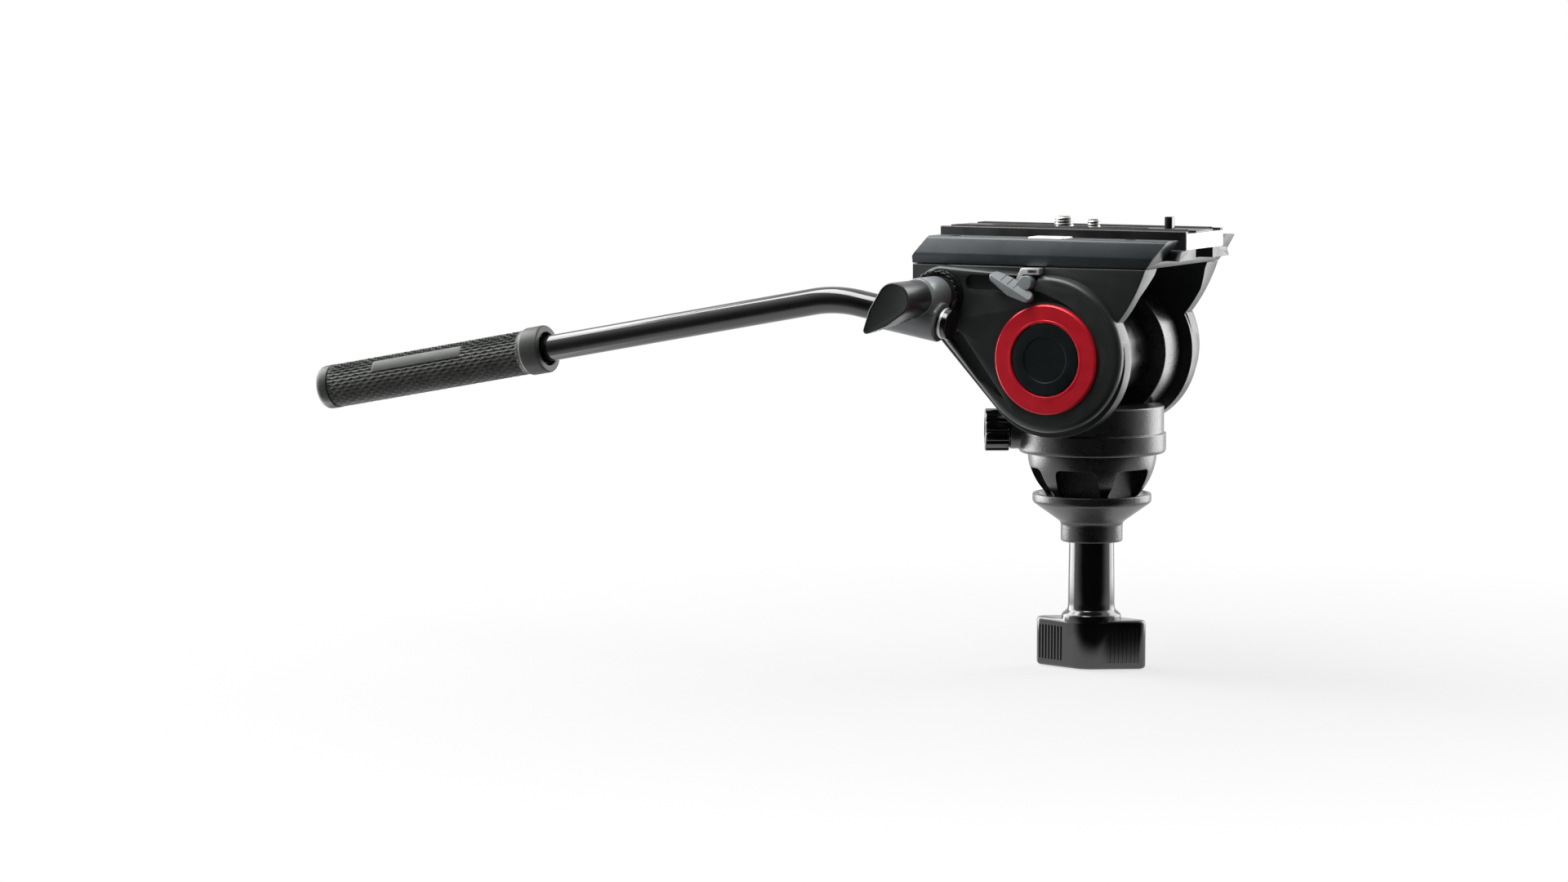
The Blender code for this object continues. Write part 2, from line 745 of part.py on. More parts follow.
def make_ball_base(body):
    """The half ball, the stud below it and the spindle stack that the head turns on."""
    ball = make_half_ball(body)
    put(rod("clamp_stud", STUD_RADIUS, STUD_BOTTOM_Z, STUD_TOP_Z, STEEL, FEW_SIDES, SEAT), body)
    bore = STUD_RADIUS + SEAT
    blind = STUD_TOP_Z + SEAT
    spindle = turned("pan_spindle", [
        (0, NUT_TOP_Z),
        (SPINDLE_RADIUS - SEAT, NUT_TOP_Z),
        (SPINDLE_RADIUS, NUT_TOP_Z - SEAT),
        (SPINDLE_RADIUS, FOOT_TOP_Z),
        (SPINDLE_FOOT_RADIUS, FOOT_TOP_Z),
        (SPINDLE_FOOT_RADIUS, FOOT_BOTTOM_Z),
        (bore, FOOT_BOTTOM_Z),
        (bore, blind),
        (0, blind),
    ], STEEL, FEW_SIDES)
    put(spindle, body)
    hole = SPINDLE_RADIUS + SEAT
    drum_middle = PAN_LOCK_Z
    groove = BRAKE_DRUM_RADIUS - BRAKE_GROOVE
    drum = turned("pan_brake_drum", [
        (hole, BRAKE_TOP_Z),
        (BRAKE_DRUM_RADIUS, BRAKE_TOP_Z),
        (BRAKE_DRUM_RADIUS, drum_middle + 2 * BRAKE_GROOVE),
        (groove, drum_middle + BRAKE_GROOVE),
        (groove, drum_middle - BRAKE_GROOVE),
        (BRAKE_DRUM_RADIUS, drum_middle - 2 * BRAKE_GROOVE),
        (BRAKE_DRUM_RADIUS, BRAKE_BOTTOM_Z),
        (hole, BRAKE_BOTTOM_Z),
    ], STEEL, FEW_SIDES)
    put(drum, body)
    put(make_bearing("pan_bearing", hole, PAN_BEARING_RADIUS, BEARING_BOTTOM_Z, BEARING_TOP_Z), body)
    nut = extruded("spindle_nut", [
        on_circle((0, 0), SPINDLE_NUT_RADIUS, math.tau * i / 6) for i in range(6)
    ], SPINDLE_NUT_HEIGHT, STEEL)
    put(nut, body, (0, 0, (NUT_BOTTOM_Z + NUT_TOP_Z) / 2))
    nut_bore = rod("spindle_nut_bore", hole, -SPINDLE_NUT_HEIGHT, SPINDLE_NUT_HEIGHT)
    put(nut_bore, body, (0, 0, (NUT_BOTTOM_Z + NUT_TOP_Z) / 2))
    cut(nut, nut_bore)
    make_ball_screws(body, ball, spindle)


def make_bearing(name, inner, outer, low, high):
    """A closed bearing, its upper shield set back between an inner and an outer race."""
    race = (outer - inner) / 4
    return turned(name, [
        (inner, high), (inner + race, high), (inner + race, high - BEARING_LIP),
        (outer - race, high - BEARING_LIP), (outer - race, high), (outer, high),
        (outer, low), (inner, low),
    ], STEEL, FEW_SIDES)


def make_ball_screws(body, ball, spindle):
    """Cap screws that hold the ball casting to the spindle's foot from below."""
    seat = BALL_TOP_Z - BALL_FLOOR - SEAT
    top = FOOT_BOTTOM_Z + BALL_SCREW_REACH
    for i in range(BALL_SCREWS):
        angle = RIB_TURN + math.tau * (i / BALL_SCREWS + 1 / (2 * WINDOW_COUNT))
        x, y = on_circle((0, 0), BALL_SCREW_CIRCLE, angle)
        screw = turned(f"ball_screw_{i + 1}", [
            (0, top), (BALL_SCREW_RADIUS, top), (BALL_SCREW_RADIUS, seat),
            (BALL_SCREW_HEAD_RADIUS, seat), (BALL_SCREW_HEAD_RADIUS, seat - BALL_SCREW_HEAD),
            (SOCKET_RADIUS, seat - BALL_SCREW_HEAD),
            (SOCKET_RADIUS, seat - BALL_SCREW_HEAD + SOCKET_DEPTH),
            (0, seat - BALL_SCREW_HEAD + SOCKET_DEPTH),
        ], STEEL, FEW_SIDES)
        put(screw, body, (x, y, 0))
        hole = rod(f"ball_screw_hole_{i + 1}", BALL_SCREW_RADIUS + SEAT, seat - OVERRUN, top + SEAT,
                   sides=FEW_SIDES)
        put(hole, body, (x, y, 0))
        cut(ball, hole)
        cut(spindle, hole)


def make_bowl_clamp(body):
    """The cup that is drawn up under the tripod's bowl, with its collar."""
    wall_top = CUP_RIM_Z - CUP_RIM
    web_bottom = SHAFT_TOP_Z + SEAT
    inner_collar = COLLAR_RADIUS - COLLAR_WALL
    web_top = web_bottom + CUP_WEB
    rim_inner = CUP_RIM_RADIUS - CUP_WALL
    edge = CUP_WALL / 4
    cup = turned("clamp_cup", [
        (rim_inner, CUP_RIM_Z),
        (CUP_RIM_RADIUS - edge, CUP_RIM_Z),
        (CUP_RIM_RADIUS, CUP_RIM_Z - edge),
        (CUP_RIM_RADIUS, wall_top + COLLAR_EDGE),
        (CUP_RIM_RADIUS - COLLAR_EDGE, wall_top),
        (COLLAR_RADIUS, CUP_CONE_Z),
        (COLLAR_RADIUS, COLLAR_BOTTOM_Z + COLLAR_EDGE),
        (COLLAR_RADIUS - COLLAR_EDGE, COLLAR_BOTTOM_Z),
        (inner_collar, COLLAR_BOTTOM_Z),
        (inner_collar, web_bottom),
        (STUD_RADIUS + SEAT, web_bottom),
        (STUD_RADIUS + SEAT, web_top),
        (inner_collar, web_top),
        (rim_inner - COLLAR_EDGE, wall_top + CUP_WALL / 2),
    ], CAST_PAINT, WIDE_SIDES)
    return put(cup, body)


def make_tie_down_knob(body):
    """The long-necked wing knob below the cup, with a threaded insert in its neck."""
    top = SHAFT_TOP_Z
    bore = STUD_RADIUS + SEAT
    pocket = INSERT_RADIUS + SEAT
    pocket_bottom = top - INSERT_LENGTH - 2 * SEAT
    flare = SHOULDER_RADIUS - SHAFT_FOOT_RADIUS
    knob = turned("tie_down_knob", [
        (pocket, top),
        (SHAFT_TOP_RADIUS - SEAT, top),
        (SHAFT_TOP_RADIUS, top - SEAT),
        (SHAFT_FOOT_RADIUS, SHAFT_FOOT_Z + flare / 2),
        (SHAFT_FOOT_RADIUS + flare / 4, SHAFT_FOOT_Z),
        (SHOULDER_RADIUS - flare / 4, SHOULDER_Z + flare / 4),
        (SHOULDER_RADIUS, SHOULDER_Z),
        (SHOULDER_RADIUS, WING_TOP_Z - SEAT),
        (bore, WING_TOP_Z - SEAT),
        (bore, WING_TOP_Z - EMBED),
        (0, WING_TOP_Z - EMBED),
        (0, KNOB_BORE_Z),
        (bore, KNOB_BORE_Z),
        (bore, pocket_bottom),
        (pocket, pocket_bottom),
    ], BLACK_PLASTIC)
    put(knob, body)
    wings = extruded("knob_wings", wing_outline(), WING_TOP_Z - WING_BOTTOM_Z)
    soften(wings, WING_EDGE, 1)
    join(knob, put(wings, body, (0, 0, (WING_TOP_Z + WING_BOTTOM_Z) / 2), (0, 0, WING_TURN)))
    cut_wing_grooves(knob, body)
    insert = ring("knob_insert", bore, INSERT_RADIUS, top - INSERT_LENGTH - SEAT, top - SEAT, BRASS)
    put(insert, body)


def wing_outline():
    """The outline round a hub and the smaller rounds of two wing ends."""
    spread = math.acos((WING_HUB_RADIUS - WING_END_RADIUS) / WING_REACH)
    outline = []
    for turn in (0, HALF_TURN):
        end = on_circle((0, 0), WING_REACH, turn)
        outline += arc(end, WING_END_RADIUS, turn - spread, turn + spread)
        outline += arc((0, 0), WING_HUB_RADIUS, turn + spread, turn + HALF_TURN - spread)
    return outline


def cut_wing_grooves(knob, body):
    """Upright finger grooves in both faces of both wings of the tie-down knob."""
    spread = math.acos((WING_HUB_RADIUS - WING_END_RADIUS) / WING_REACH)
    low = WING_BOTTOM_Z + GRIP_GROOVE_MARGIN
    high = WING_TOP_Z - GRIP_GROOVE_MARGIN
    for wing in range(2):
        for face in (-1, 1):
            turn = WING_TURN + wing * HALF_TURN
            normal = turn + face * spread
            along = normal - face * math.pi / 2
            end = on_circle((0, 0), WING_REACH, turn)
            end = on_circle(end, WING_END_RADIUS, normal)
            comb = bpy.data.meshes.new(f"groove_comb_{wing}_{face}")
            work = bmesh.new()
            for i in range(GRIP_GROOVES):
                cube = bmesh.ops.create_cube(work, size=1)["verts"]
                size = (GRIP_GROOVE_WIDTH, 2 * GRIP_GROOVE_DEPTH, high - low)
                bmesh.ops.scale(work, vec=size, verts=cube)
                bmesh.ops.translate(work, vec=(-i * GRIP_GROOVE_PITCH, 0, 0), verts=cube)
            work.to_mesh(comb)
            work.free()
            cutter = add(f"groove_cutter_{wing + 1}_{face + 2}", comb, None)
            put(cutter, body, (*end, (low + high) / 2), (0, 0, along))
            cut(knob, cutter)


def ear(name, near, far, side, body):
    """A round ear of the tower, which runs down into the side of the base."""
    return turned_on_side(rod(name, EAR_RADIUS, near, far, sides=WIDE_SIDES), body, side)


def make_pan_housing(body):
    """The base casting with the two ears that carry the tilt axle."""
    round_ = FLANGE_ROUND
    wide = PAN_CARTRIDGE_RADIUS + SEAT
    narrow = PAN_BEARING_RADIUS + SEAT
    shelf = BRAKE_TOP_Z + SEAT / 2
    roof = NUT_TOP_Z + CAVITY_ROOF_GAP
    housing = turned("pan_housing", [
        (0, DRUM_BASE_TOP_Z),
        (DRUM_BASE_RADIUS - BASE_EDGE, DRUM_BASE_TOP_Z),
        (DRUM_BASE_RADIUS, DRUM_BASE_TOP_Z - BASE_EDGE),
        (DRUM_BASE_RADIUS, FLANGE_TOP_Z + SEAT),
        (FLANGE_RADIUS - SEAT, FLANGE_TOP_Z),
        (FLANGE_RADIUS, FLANGE_TOP_Z - SEAT),
        (FLANGE_RADIUS, round_),
        *curved((FLANGE_RADIUS, round_), (FLANGE_RADIUS, 0), (FLANGE_RADIUS - round_, 0), 3),
        (FLANGE_RADIUS - round_, 0),
        (0, 0),
    ], CAST_PAINT, WIDE_SIDES)
    put(housing, body)
    join(housing, ear("near_ear", NEAR_EAR_INNER, EAR_OUTER, NEAR, body),
         ear("far_ear", FAR_EAR_INNER, EAR_OUTER, FAR, body))
    join(housing, make_lock_boss(body), make_level_boss(body))
    cavity = turned("housing_cavity", [
        (0, roof), (narrow, roof), (narrow, shelf), (wide, shelf), (wide, -OVERRUN), (0, -OVERRUN),
    ], sides=WIDE_SIDES)
    cut(housing, put(cavity, body))
    lock_hole = rod("pan_lock_hole", PAN_SCREW_RADIUS + SEAT, PAN_BEARING_RADIUS,
                    PAN_BOSS_REACH + OVERRUN, sides=FEW_SIDES)
    pocket = rod("level_pocket", LEVEL_RADIUS + SEAT,
                 LEVEL_BOSS_TOP_Z + LEVEL_PROUD - LEVEL_HEIGHT - SEAT, LEVEL_BOSS_TOP_Z + OVERRUN,
                 sides=FEW_SIDES)
    bore = AXLE_RADIUS + SEAT
    seat = TILT_BEARING_RADIUS + SEAT
    step = EAR_OUTER - TILT_BEARING - SEAT
    end = EAR_OUTER + OVERRUN
    axle_bore = turned("axle_bore", [
        (0, end), (seat, end), (seat, step), (bore, step),
        (bore, -step), (seat, -step), (seat, -end), (0, -end),
    ])
    cut(housing, turned_on_side(axle_bore, body, NEAR),
        put(lock_hole, body, (0, 0, PAN_LOCK_Z), (0, math.pi / 2, PAN_LOCK_TURN)),
        put(pocket, body, (*on_circle((0, 0), LEVEL_CENTRE, LEVEL_TURN), 0)))
    return housing


def make_lock_boss(body):
    """The round boss that the pan lock knob stands on."""
    boss = rod("pan_lock_boss", PAN_BOSS_RADIUS, BRAKE_DRUM_RADIUS + 2 * EMBED, PAN_BOSS_REACH,
               edge=BASE_EDGE)
    return put(boss, body, (0, 0, PAN_LOCK_Z), (0, math.pi / 2, PAN_LOCK_TURN))


def make_level_boss(body):
    """A round boss on the rear of the base for the bubble level."""
    boss = rod("level_boss", LEVEL_BOSS_RADIUS, LEVEL_BOSS_BOTTOM_Z, LEVEL_BOSS_TOP_Z, edge=BASE_EDGE)
    return put(boss, body, (*on_circle((0, 0), LEVEL_CENTRE, LEVEL_TURN), 0))


def make_pan_insides(body):
    """What turns with the housing: its drag cartridge, the counterbalance, the axle and level."""
    cartridge = ring("pan_drag_cartridge", SPINDLE_RADIUS + RUN, PAN_CARTRIDGE_RADIUS,
                     CARTRIDGE_BOTTOM_Z, CARTRIDGE_TOP_Z, ALUMINIUM)
    put(cartridge, body)
    near = -NEAR_EAR_INNER + SEAT
    far = FAR_EAR_INNER - SEAT
    wall = COUNTER_DRUM_WALL
    hole = AXLE_RADIUS + SEAT
    inside = COUNTER_DRUM_RADIUS - wall
    drum = turned("counterbalance_drum", [
        (hole, far), (COUNTER_DRUM_RADIUS, far), (COUNTER_DRUM_RADIUS, near), (hole, near),
        (hole, near + wall), (inside, near + wall), (inside, far - wall), (hole, far - wall),
    ], BLACK_ANODISED)
    turned_on_side(drum, body, FAR)
    start = near + wall + SEAT + SPRING_WIRE
    end = far - wall - SEAT - SPRING_WIRE
    coil = helix(SPRING_RADIUS, start, end, SPRING_TURNS, SPRING_POINTS)
    turned_on_side(tube("counterbalance_spring", coil, SPRING_WIRE, STEEL, 1), body, FAR)
    axle = rod("tilt_axle", AXLE_RADIUS, -AXLE_HALF, AXLE_HALF, STEEL, edge=AXLE_EDGE)
    turned_on_side(axle, body, FAR)
    for side, name in ((NEAR, "near"), (FAR, "far")):
        bearing = make_bearing(f"tilt_bearing_{name}", hole, TILT_BEARING_RADIUS,
                               EAR_OUTER - TILT_BEARING, EAR_OUTER + SEAT)
        turned_on_side(bearing, body, side)
    level = rod("bubble_level", LEVEL_RADIUS, LEVEL_BOSS_TOP_Z + LEVEL_PROUD - LEVEL_HEIGHT,
                LEVEL_BOSS_TOP_Z + LEVEL_PROUD, LEVEL_GLASS, edge=SEAT)
    put(level, body, (*on_circle((0, 0), LEVEL_CENTRE, LEVEL_TURN), 0))
    shoe = rod("pan_lock_shoe", PAN_SCREW_RADIUS, BRAKE_DRUM_RADIUS + SEAT,
               BRAKE_DRUM_RADIUS + SEAT + SHOE_LENGTH, BRASS, FEW_SIDES)
    put(shoe, body, (0, 0, PAN_LOCK_Z), (0, math.pi / 2, PAN_LOCK_TURN))


def helix(radius, start, end, turns, points):
    """Points along a coil about the local Z axis."""
    total = turns * points
    return [
        (*on_circle((0, 0), radius, math.tau * i / points), start + (end - start) * i / total)
        for i in range(total + 1)
    ]


def make_pan_lock(body):
    """The fluted pan lock knob and its screw, on their own axis."""
    along = (0, math.pi / 2, PAN_LOCK_TURN)
    place = (0, 0, PAN_LOCK_Z)
    inner = PAN_BOSS_REACH + SEAT
    knob = extruded("pan_lock_knob", toothed(PAN_KNOB_RADIUS, PAN_KNOB_FLUTE, PAN_KNOB_FLUTES),
                    PAN_KNOB_LENGTH, BLACK_PLASTIC)
    x, y = on_circle((0, 0), (inner + PAN_KNOB_REACH) / 2, PAN_LOCK_TURN)
    put(knob, body, (x, y, PAN_LOCK_Z), along)
    crown = turned("pan_knob_crown", [
        (PAN_KNOB_RADIUS - PAN_KNOB_EDGE, PAN_KNOB_REACH),
        (PAN_KNOB_RADIUS + OVERRUN, PAN_KNOB_REACH + OVERRUN),
        (PAN_KNOB_RADIUS + OVERRUN, PAN_KNOB_REACH - PAN_KNOB_EDGE - OVERRUN),
    ])
    cut(knob, put(crown, body, place, along))
    grip = PAN_BOSS_REACH + PAN_SCREW_GRIP
    socket = rod("pan_knob_socket", PAN_SCREW_RADIUS + SEAT, inner - OVERRUN, grip + SEAT,
                 sides=FEW_SIDES)
    cut(knob, put(socket, body, place, along))
    screw = rod("pan_lock_screw", PAN_SCREW_RADIUS, PAN_SCREW_INNER, grip, STEEL, FEW_SIDES)
    put(screw, body, place, along)


def cheek_outline():
    """The side housing's outline from the tilt axis: a disc, its rear slope, its neck and its top."""
    disc = (0, 0)
    rear_x = CHEEK_REAR_X - TILT_X
    front_x = CHEEK_FRONT_X - TILT_X
    rear = (rear_x, CHEEK_REAR_Z - TILT_Z)
    neck = math.asin((CHEEK_NECK_Z - TILT_Z) / CHEEK_RADIUS)
    start = tangent_angle(rear, disc, CHEEK_RADIUS) - math.tau
    top = CHEEK_TOP_Z - TILT_Z
    neck_point = on_circle(disc, CHEEK_RADIUS, neck)
    bend = (CHEEK_BEND_X - TILT_X, CHEEK_BEND_Z - TILT_Z)
    outline = arc(disc, CHEEK_RADIUS, start, neck)
    outline += curved(neck_point, bend, (front_x, top - RUN), 5)
    outline += [(front_x, top), (rear_x, top), rear]
    return outline


def make_cheek(name, side, body, cartridge_radius):
    """A side housing: a plate with a raised round body, thick under the receiver."""
    thickness = CHEEK_OUTER - CHEEK_TOP_INNER
    cheek = extruded(name, cheek_outline(), thickness, SIDE_MOULDING)
    side_piece(cheek, body, side, CHEEK_TOP_INNER, CHEEK_OUTER)
    flare = extruded(f"{name}_inner_cutter", [
        (-OVERRUN, -CHEEK_RADIUS - OVERRUN),
        (CHEEK_INNER - CHEEK_TOP_INNER, -CHEEK_RADIUS - OVERRUN),
        (CHEEK_INNER - CHEEK_TOP_INNER, CHEEK_FLARE_LOW_Z - TILT_Z),
        (0, CHEEK_FLARE_HIGH_Z - TILT_Z),
        (-OVERRUN, CHEEK_FLARE_HIGH_Z - TILT_Z),
    ], 2 * (CHEEK_FRONT_X - CHEEK_REAR_X))
    turn = ALONG_X if side == FAR else (math.pi / 2, 0, -math.pi / 2)
    put(flare, body, (TILT_X, side * CHEEK_TOP_INNER, TILT_Z), turn)
    cut(cheek, flare)
    raised = extruded(f"{name}_raised", belt((0, RAISED_LIFT), RAISED_RADIUS,
                                             (ROSETTE_X - TILT_X, ROSETTE_Z - TILT_Z), RAISED_REAR_RADIUS),
                      RAISED_FACE - CHEEK_INNER - EMBED)
    soften(raised, RAISED_ROUND, 1)
    side_piece(raised, body, side, CHEEK_INNER + EMBED, RAISED_FACE)
    gutter = extruded(f"{name}_gutter", [
        (GUTTER_LOW_X - TILT_X, GUTTER_LOW_Z - TILT_Z),
        (GUTTER_CREASE_X - TILT_X, GUTTER_CREASE_Z - TILT_Z),
        (GUTTER_TOP_X - TILT_X, GUTTER_TOP_Z - TILT_Z),
        (GUTTER_RIM_X - TILT_X, GUTTER_RIM_Z - TILT_Z),
    ], GUTTER_DEPTH + OVERRUN)
    join(cheek, raised)
    cut(cheek, side_piece(gutter, body, side, RAISED_FACE - GUTTER_DEPTH, RAISED_FACE + OVERRUN))
    cover = put_block(f"{name}_top_cutter",
                      (RECEIVER_REAR_X - OVERRUN, min(0, side * 2 * CHEEK_OUTER), CHEEK_TOP_Z),
                      (RECEIVER_FRONT_TOP_X, max(0, side * 2 * CHEEK_OUTER), RECEIVER_TOP_Z), body)
    cut(cheek, cover)
    bore = rod(f"{name}_cartridge_bore", cartridge_radius + SEAT, CHEEK_INNER + CHEEK_WEB,
               RAISED_FACE + OVERRUN, sides=WIDE_SIDES)
    web = rod(f"{name}_axle_hole", AXLE_RADIUS + CARTRIDGE_STEP + SEAT, CHEEK_INNER - OVERRUN,
              CHEEK_INNER + CHEEK_WEB + OVERRUN)
    seat = rod(f"{name}_rosette_bore", ROSETTE_RADIUS + SEAT, ROSETTE_SEAT - SEAT, RAISED_FACE + OVERRUN)
    bolt_room = rod(f"{name}_bolt_bore", ROSETTE_BORE, CHEEK_OUTER - 2 * EMBED, ROSETTE_SEAT)
    rosette = (ROSETTE_X, ROSETTE_Z)
    cut(cheek, turned_on_side(bore, body, side), turned_on_side(web, body, side),
        turned_on_side(seat, body, side, rosette), turned_on_side(bolt_room, body, side, rosette))
    return cheek


def make_drag_side(name, side, body, cartridge_radius, ring_radius, cap_radius, ring_finish, sides):
    """The drag cartridge in a side housing, and the ring and cap that close it."""
    low = CHEEK_INNER + CHEEK_WEB + SEAT
    high = RAISED_FACE - SEAT
    hole = AXLE_RADIUS + RUN
    nose = AXLE_RADIUS + CARTRIDGE_STEP
    cartridge = turned(f"{name}_drag_cartridge", [
        (hole, high), (cartridge_radius, high), (cartridge_radius, low), (nose, low),
        (nose, CHEEK_INNER), (hole, CHEEK_INNER),
    ], ALUMINIUM, FEW_SIDES)
    turned_on_side(cartridge, body, side)
    base = RAISED_FACE + SEAT
    face = base + RING_THICK
    lip = cap_radius + SEAT
    cover = turned(f"{name}_drag_ring", [
        (lip, face - RING_EDGE), (lip + RING_EDGE, face), (ring_radius - RING_EDGE, face),
        (ring_radius, face - RING_EDGE), (ring_radius, base), (lip, base),
    ], ring_finish, sides)
    turned_on_side(cover, body, side)
    top = base + CAP_THICK
    dish = cap_radius * CAP_DISH_SHARE
    cap = turned(f"{name}_cap", [
        (0, top - CAP_DISH), (dish, top - CAP_DISH), (dish + CAP_DISH, top), (cap_radius - RING_EDGE, top),
        (cap_radius, top - RING_EDGE), (cap_radius, base), (0, base),
    ], CAP_PLASTIC, sides)
    turned_on_side(cap, body, side)


def make_rosette(name, side, body):
    """A serrated disc that the pan bar's holder is clamped against."""
    disc = ring(name, ROSETTE_BORE - 2 * SEAT, ROSETTE_RADIUS, ROSETTE_SEAT, ROSETTE_FACE, BLACK_ANODISED)
    turned_on_side(disc, body, side, (ROSETTE_X, ROSETTE_Z))
    comb = bpy.data.meshes.new(f"{name}_teeth")
    work = bmesh.new()
    for i in range(ROSETTE_TEETH):
        cube = bmesh.ops.create_cube(work, size=1)["verts"]
        width = ROSETTE_TOOTH_DEPTH * math.sqrt(2)
        bmesh.ops.scale(work, vec=(ROSETTE_RADIUS, width, width), verts=cube)
        turn_verts(work, cube, math.pi / 4, "X")
        middle = ROSETTE_TOOTH_INNER + ROSETTE_RADIUS / 2
        bmesh.ops.translate(work, vec=(middle, 0, 0), verts=cube)
        turn_verts(work, cube, math.tau * (i + 1 / 2) / ROSETTE_TEETH, "Z")
    work.to_mesh(comb)
    work.free()
    cutter = add(f"{name}_tooth_cutter", comb, None)
    put(cutter, body, (ROSETTE_X, side * ROSETTE_FACE, ROSETTE_Z), TO_FAR if side == FAR else TO_NEAR)
    cut(disc, cutter)


def turn_verts(work, verts, angle, axis):
    """Turns points about an axis through the origin."""
    bmesh.ops.rotate(work, verts=verts, cent=(0, 0, 0), matrix=Matrix.Rotation(angle, 3, axis))


def make_receiver(body):
    """The slanted receiver with its dovetail channel, made from its section and cut at both ends."""
    half = [
        (RECEIVER_HALF_FOOT, RECEIVER_BOTTOM_Z),
        (RECEIVER_HALF_CREASE, RECEIVER_CREASE_Z),
        (RECEIVER_HALF_TOP + RECEIVER_RAIL_EDGE, RECEIVER_TOP_Z - RECEIVER_RAIL_EDGE),
        (RECEIVER_HALF_TOP, RECEIVER_TOP_Z),
        (CHANNEL_HALF_LIP + CHANNEL_LIP_EDGE, RECEIVER_TOP_Z),
        (CHANNEL_HALF_LIP, RECEIVER_TOP_Z - CHANNEL_LIP_EDGE),
        (CHANNEL_HALF_LIP, CHANNEL_LIP_Z),
        (CHANNEL_HALF_FLOOR, CHANNEL_FLOOR_Z),
    ]
    section = half + [(-y, z) for y, z in reversed(half)]
    length = RECEIVER_FRONT_TOP_X - RECEIVER_REAR_X
    middle = (RECEIVER_FRONT_TOP_X + RECEIVER_REAR_X) / 2
    receiver = extruded("receiver", section, length, RECEIVER_PAINT)
    put(receiver, body, (middle, 0, 0), ALONG_X)
    over = OVERRUN
    front_slope = (RECEIVER_FRONT_TOP_X - RECEIVER_FRONT_X) / (RECEIVER_TOP_Z - RECEIVER_BOTTOM_Z)
    front = extruded("receiver_front_cutter", [
        (RECEIVER_FRONT_X - over * front_slope, RECEIVER_BOTTOM_Z - over),
        (RECEIVER_FRONT_TOP_X + over, RECEIVER_BOTTOM_Z - over),
        (RECEIVER_FRONT_TOP_X + over, RECEIVER_TOP_Z + over),
        (RECEIVER_FRONT_TOP_X + over * front_slope, RECEIVER_TOP_Z + over),
    ], 2 * RECEIVER_HALF_CREASE + over)
    rear_slope = (RECEIVER_REAR_TOP_X - RECEIVER_REAR_X) / (RECEIVER_TOP_Z - RECEIVER_REAR_STEP_Z)
    rear = extruded("receiver_rear_cutter", [
        (RECEIVER_REAR_X - over * rear_slope, RECEIVER_REAR_STEP_Z - over),
        (RECEIVER_REAR_TOP_X + over * rear_slope, RECEIVER_TOP_Z + over),
        (RECEIVER_REAR_X - over, RECEIVER_TOP_Z + over),
        (RECEIVER_REAR_X - over, RECEIVER_REAR_STEP_Z - over),
    ], 2 * RECEIVER_HALF_CREASE + over)
    cut(receiver, put(front, body, (0, 0, 0), TO_NEAR), put(rear, body, (0, 0, 0), TO_NEAR))
    notch = put_block("jaw_notch", (JAW_REAR_X - SEAT, -JAW_OUTER_Y - JAW_TRAVEL - SEAT, CHANNEL_FLOOR_Z),
                      (JAW_FRONT_X + SEAT, -CHANNEL_HALF_LIP + OVERRUN, RECEIVER_TOP_Z + OVERRUN), body)
    cut(receiver, notch)
    return receiver


def make_receiver_screws(body, receiver, cheeks):
    """Sunk cap screws that hold the receiver down on both side housings."""
    places = [
        (x, side * RECEIVER_SCREW_Y, cheek)
        for side, cheek in cheeks
        for x in (RECEIVER_SCREW_REAR_X, RECEIVER_SCREW_FRONT_X)
    ]
    top = RECEIVER_TOP_Z - RECEIVER_SCREW_SINK
    neck = top - RECEIVER_SCREW_HEAD
    low = CHEEK_TOP_Z - RECEIVER_SCREW_REACH
    for i, (x, y, cheek) in enumerate(places):
        screw = turned(f"receiver_screw_{i + 1}", [
            (0, top - SOCKET_DEPTH), (SOCKET_RADIUS, top - SOCKET_DEPTH), (SOCKET_RADIUS, top),
            (RECEIVER_SCREW_HEAD_RADIUS, top), (RECEIVER_SCREW_HEAD_RADIUS, neck),
            (RECEIVER_SCREW_RADIUS, neck), (RECEIVER_SCREW_RADIUS, low), (0, low),
        ], STEEL, FEW_SIDES)
        put(screw, body, (x, y, 0))
        hole = turned(f"receiver_screw_hole_{i + 1}", [
            (0, RECEIVER_TOP_Z + OVERRUN), (RECEIVER_SCREW_HEAD_RADIUS + SEAT, RECEIVER_TOP_Z + OVERRUN),
            (RECEIVER_SCREW_HEAD_RADIUS + SEAT, neck - SEAT), (RECEIVER_SCREW_RADIUS + SEAT, neck - SEAT),
            (RECEIVER_SCREW_RADIUS + SEAT, low - SEAT), (0, low - SEAT),
        ], sides=FEW_SIDES)
        put(hole, body, (x, y, 0))
        cut(receiver, hole)
        cut(cheek, hole)


def make_jaw(body):
    """The clamp jaw in the near rail, undercut like the rail that it stands in."""
    top = RECEIVER_TOP_Z + JAW_PROUD
    bottom = CHANNEL_FLOOR_Z + SEAT
    jaw = extruded("clamp_jaw", [
        (-JAW_OUTER_Y, bottom), (-CHANNEL_HALF_FLOOR, bottom), (-CHANNEL_HALF_LIP, CHANNEL_LIP_Z),
        (-CHANNEL_HALF_LIP, top), (-JAW_OUTER_Y, top),
    ], JAW_FRONT_X - JAW_REAR_X, ALUMINIUM)
    soften(jaw, JAW_EDGE)
    put(jaw, body, ((JAW_REAR_X + JAW_FRONT_X) / 2, 0, 0), ALONG_X)


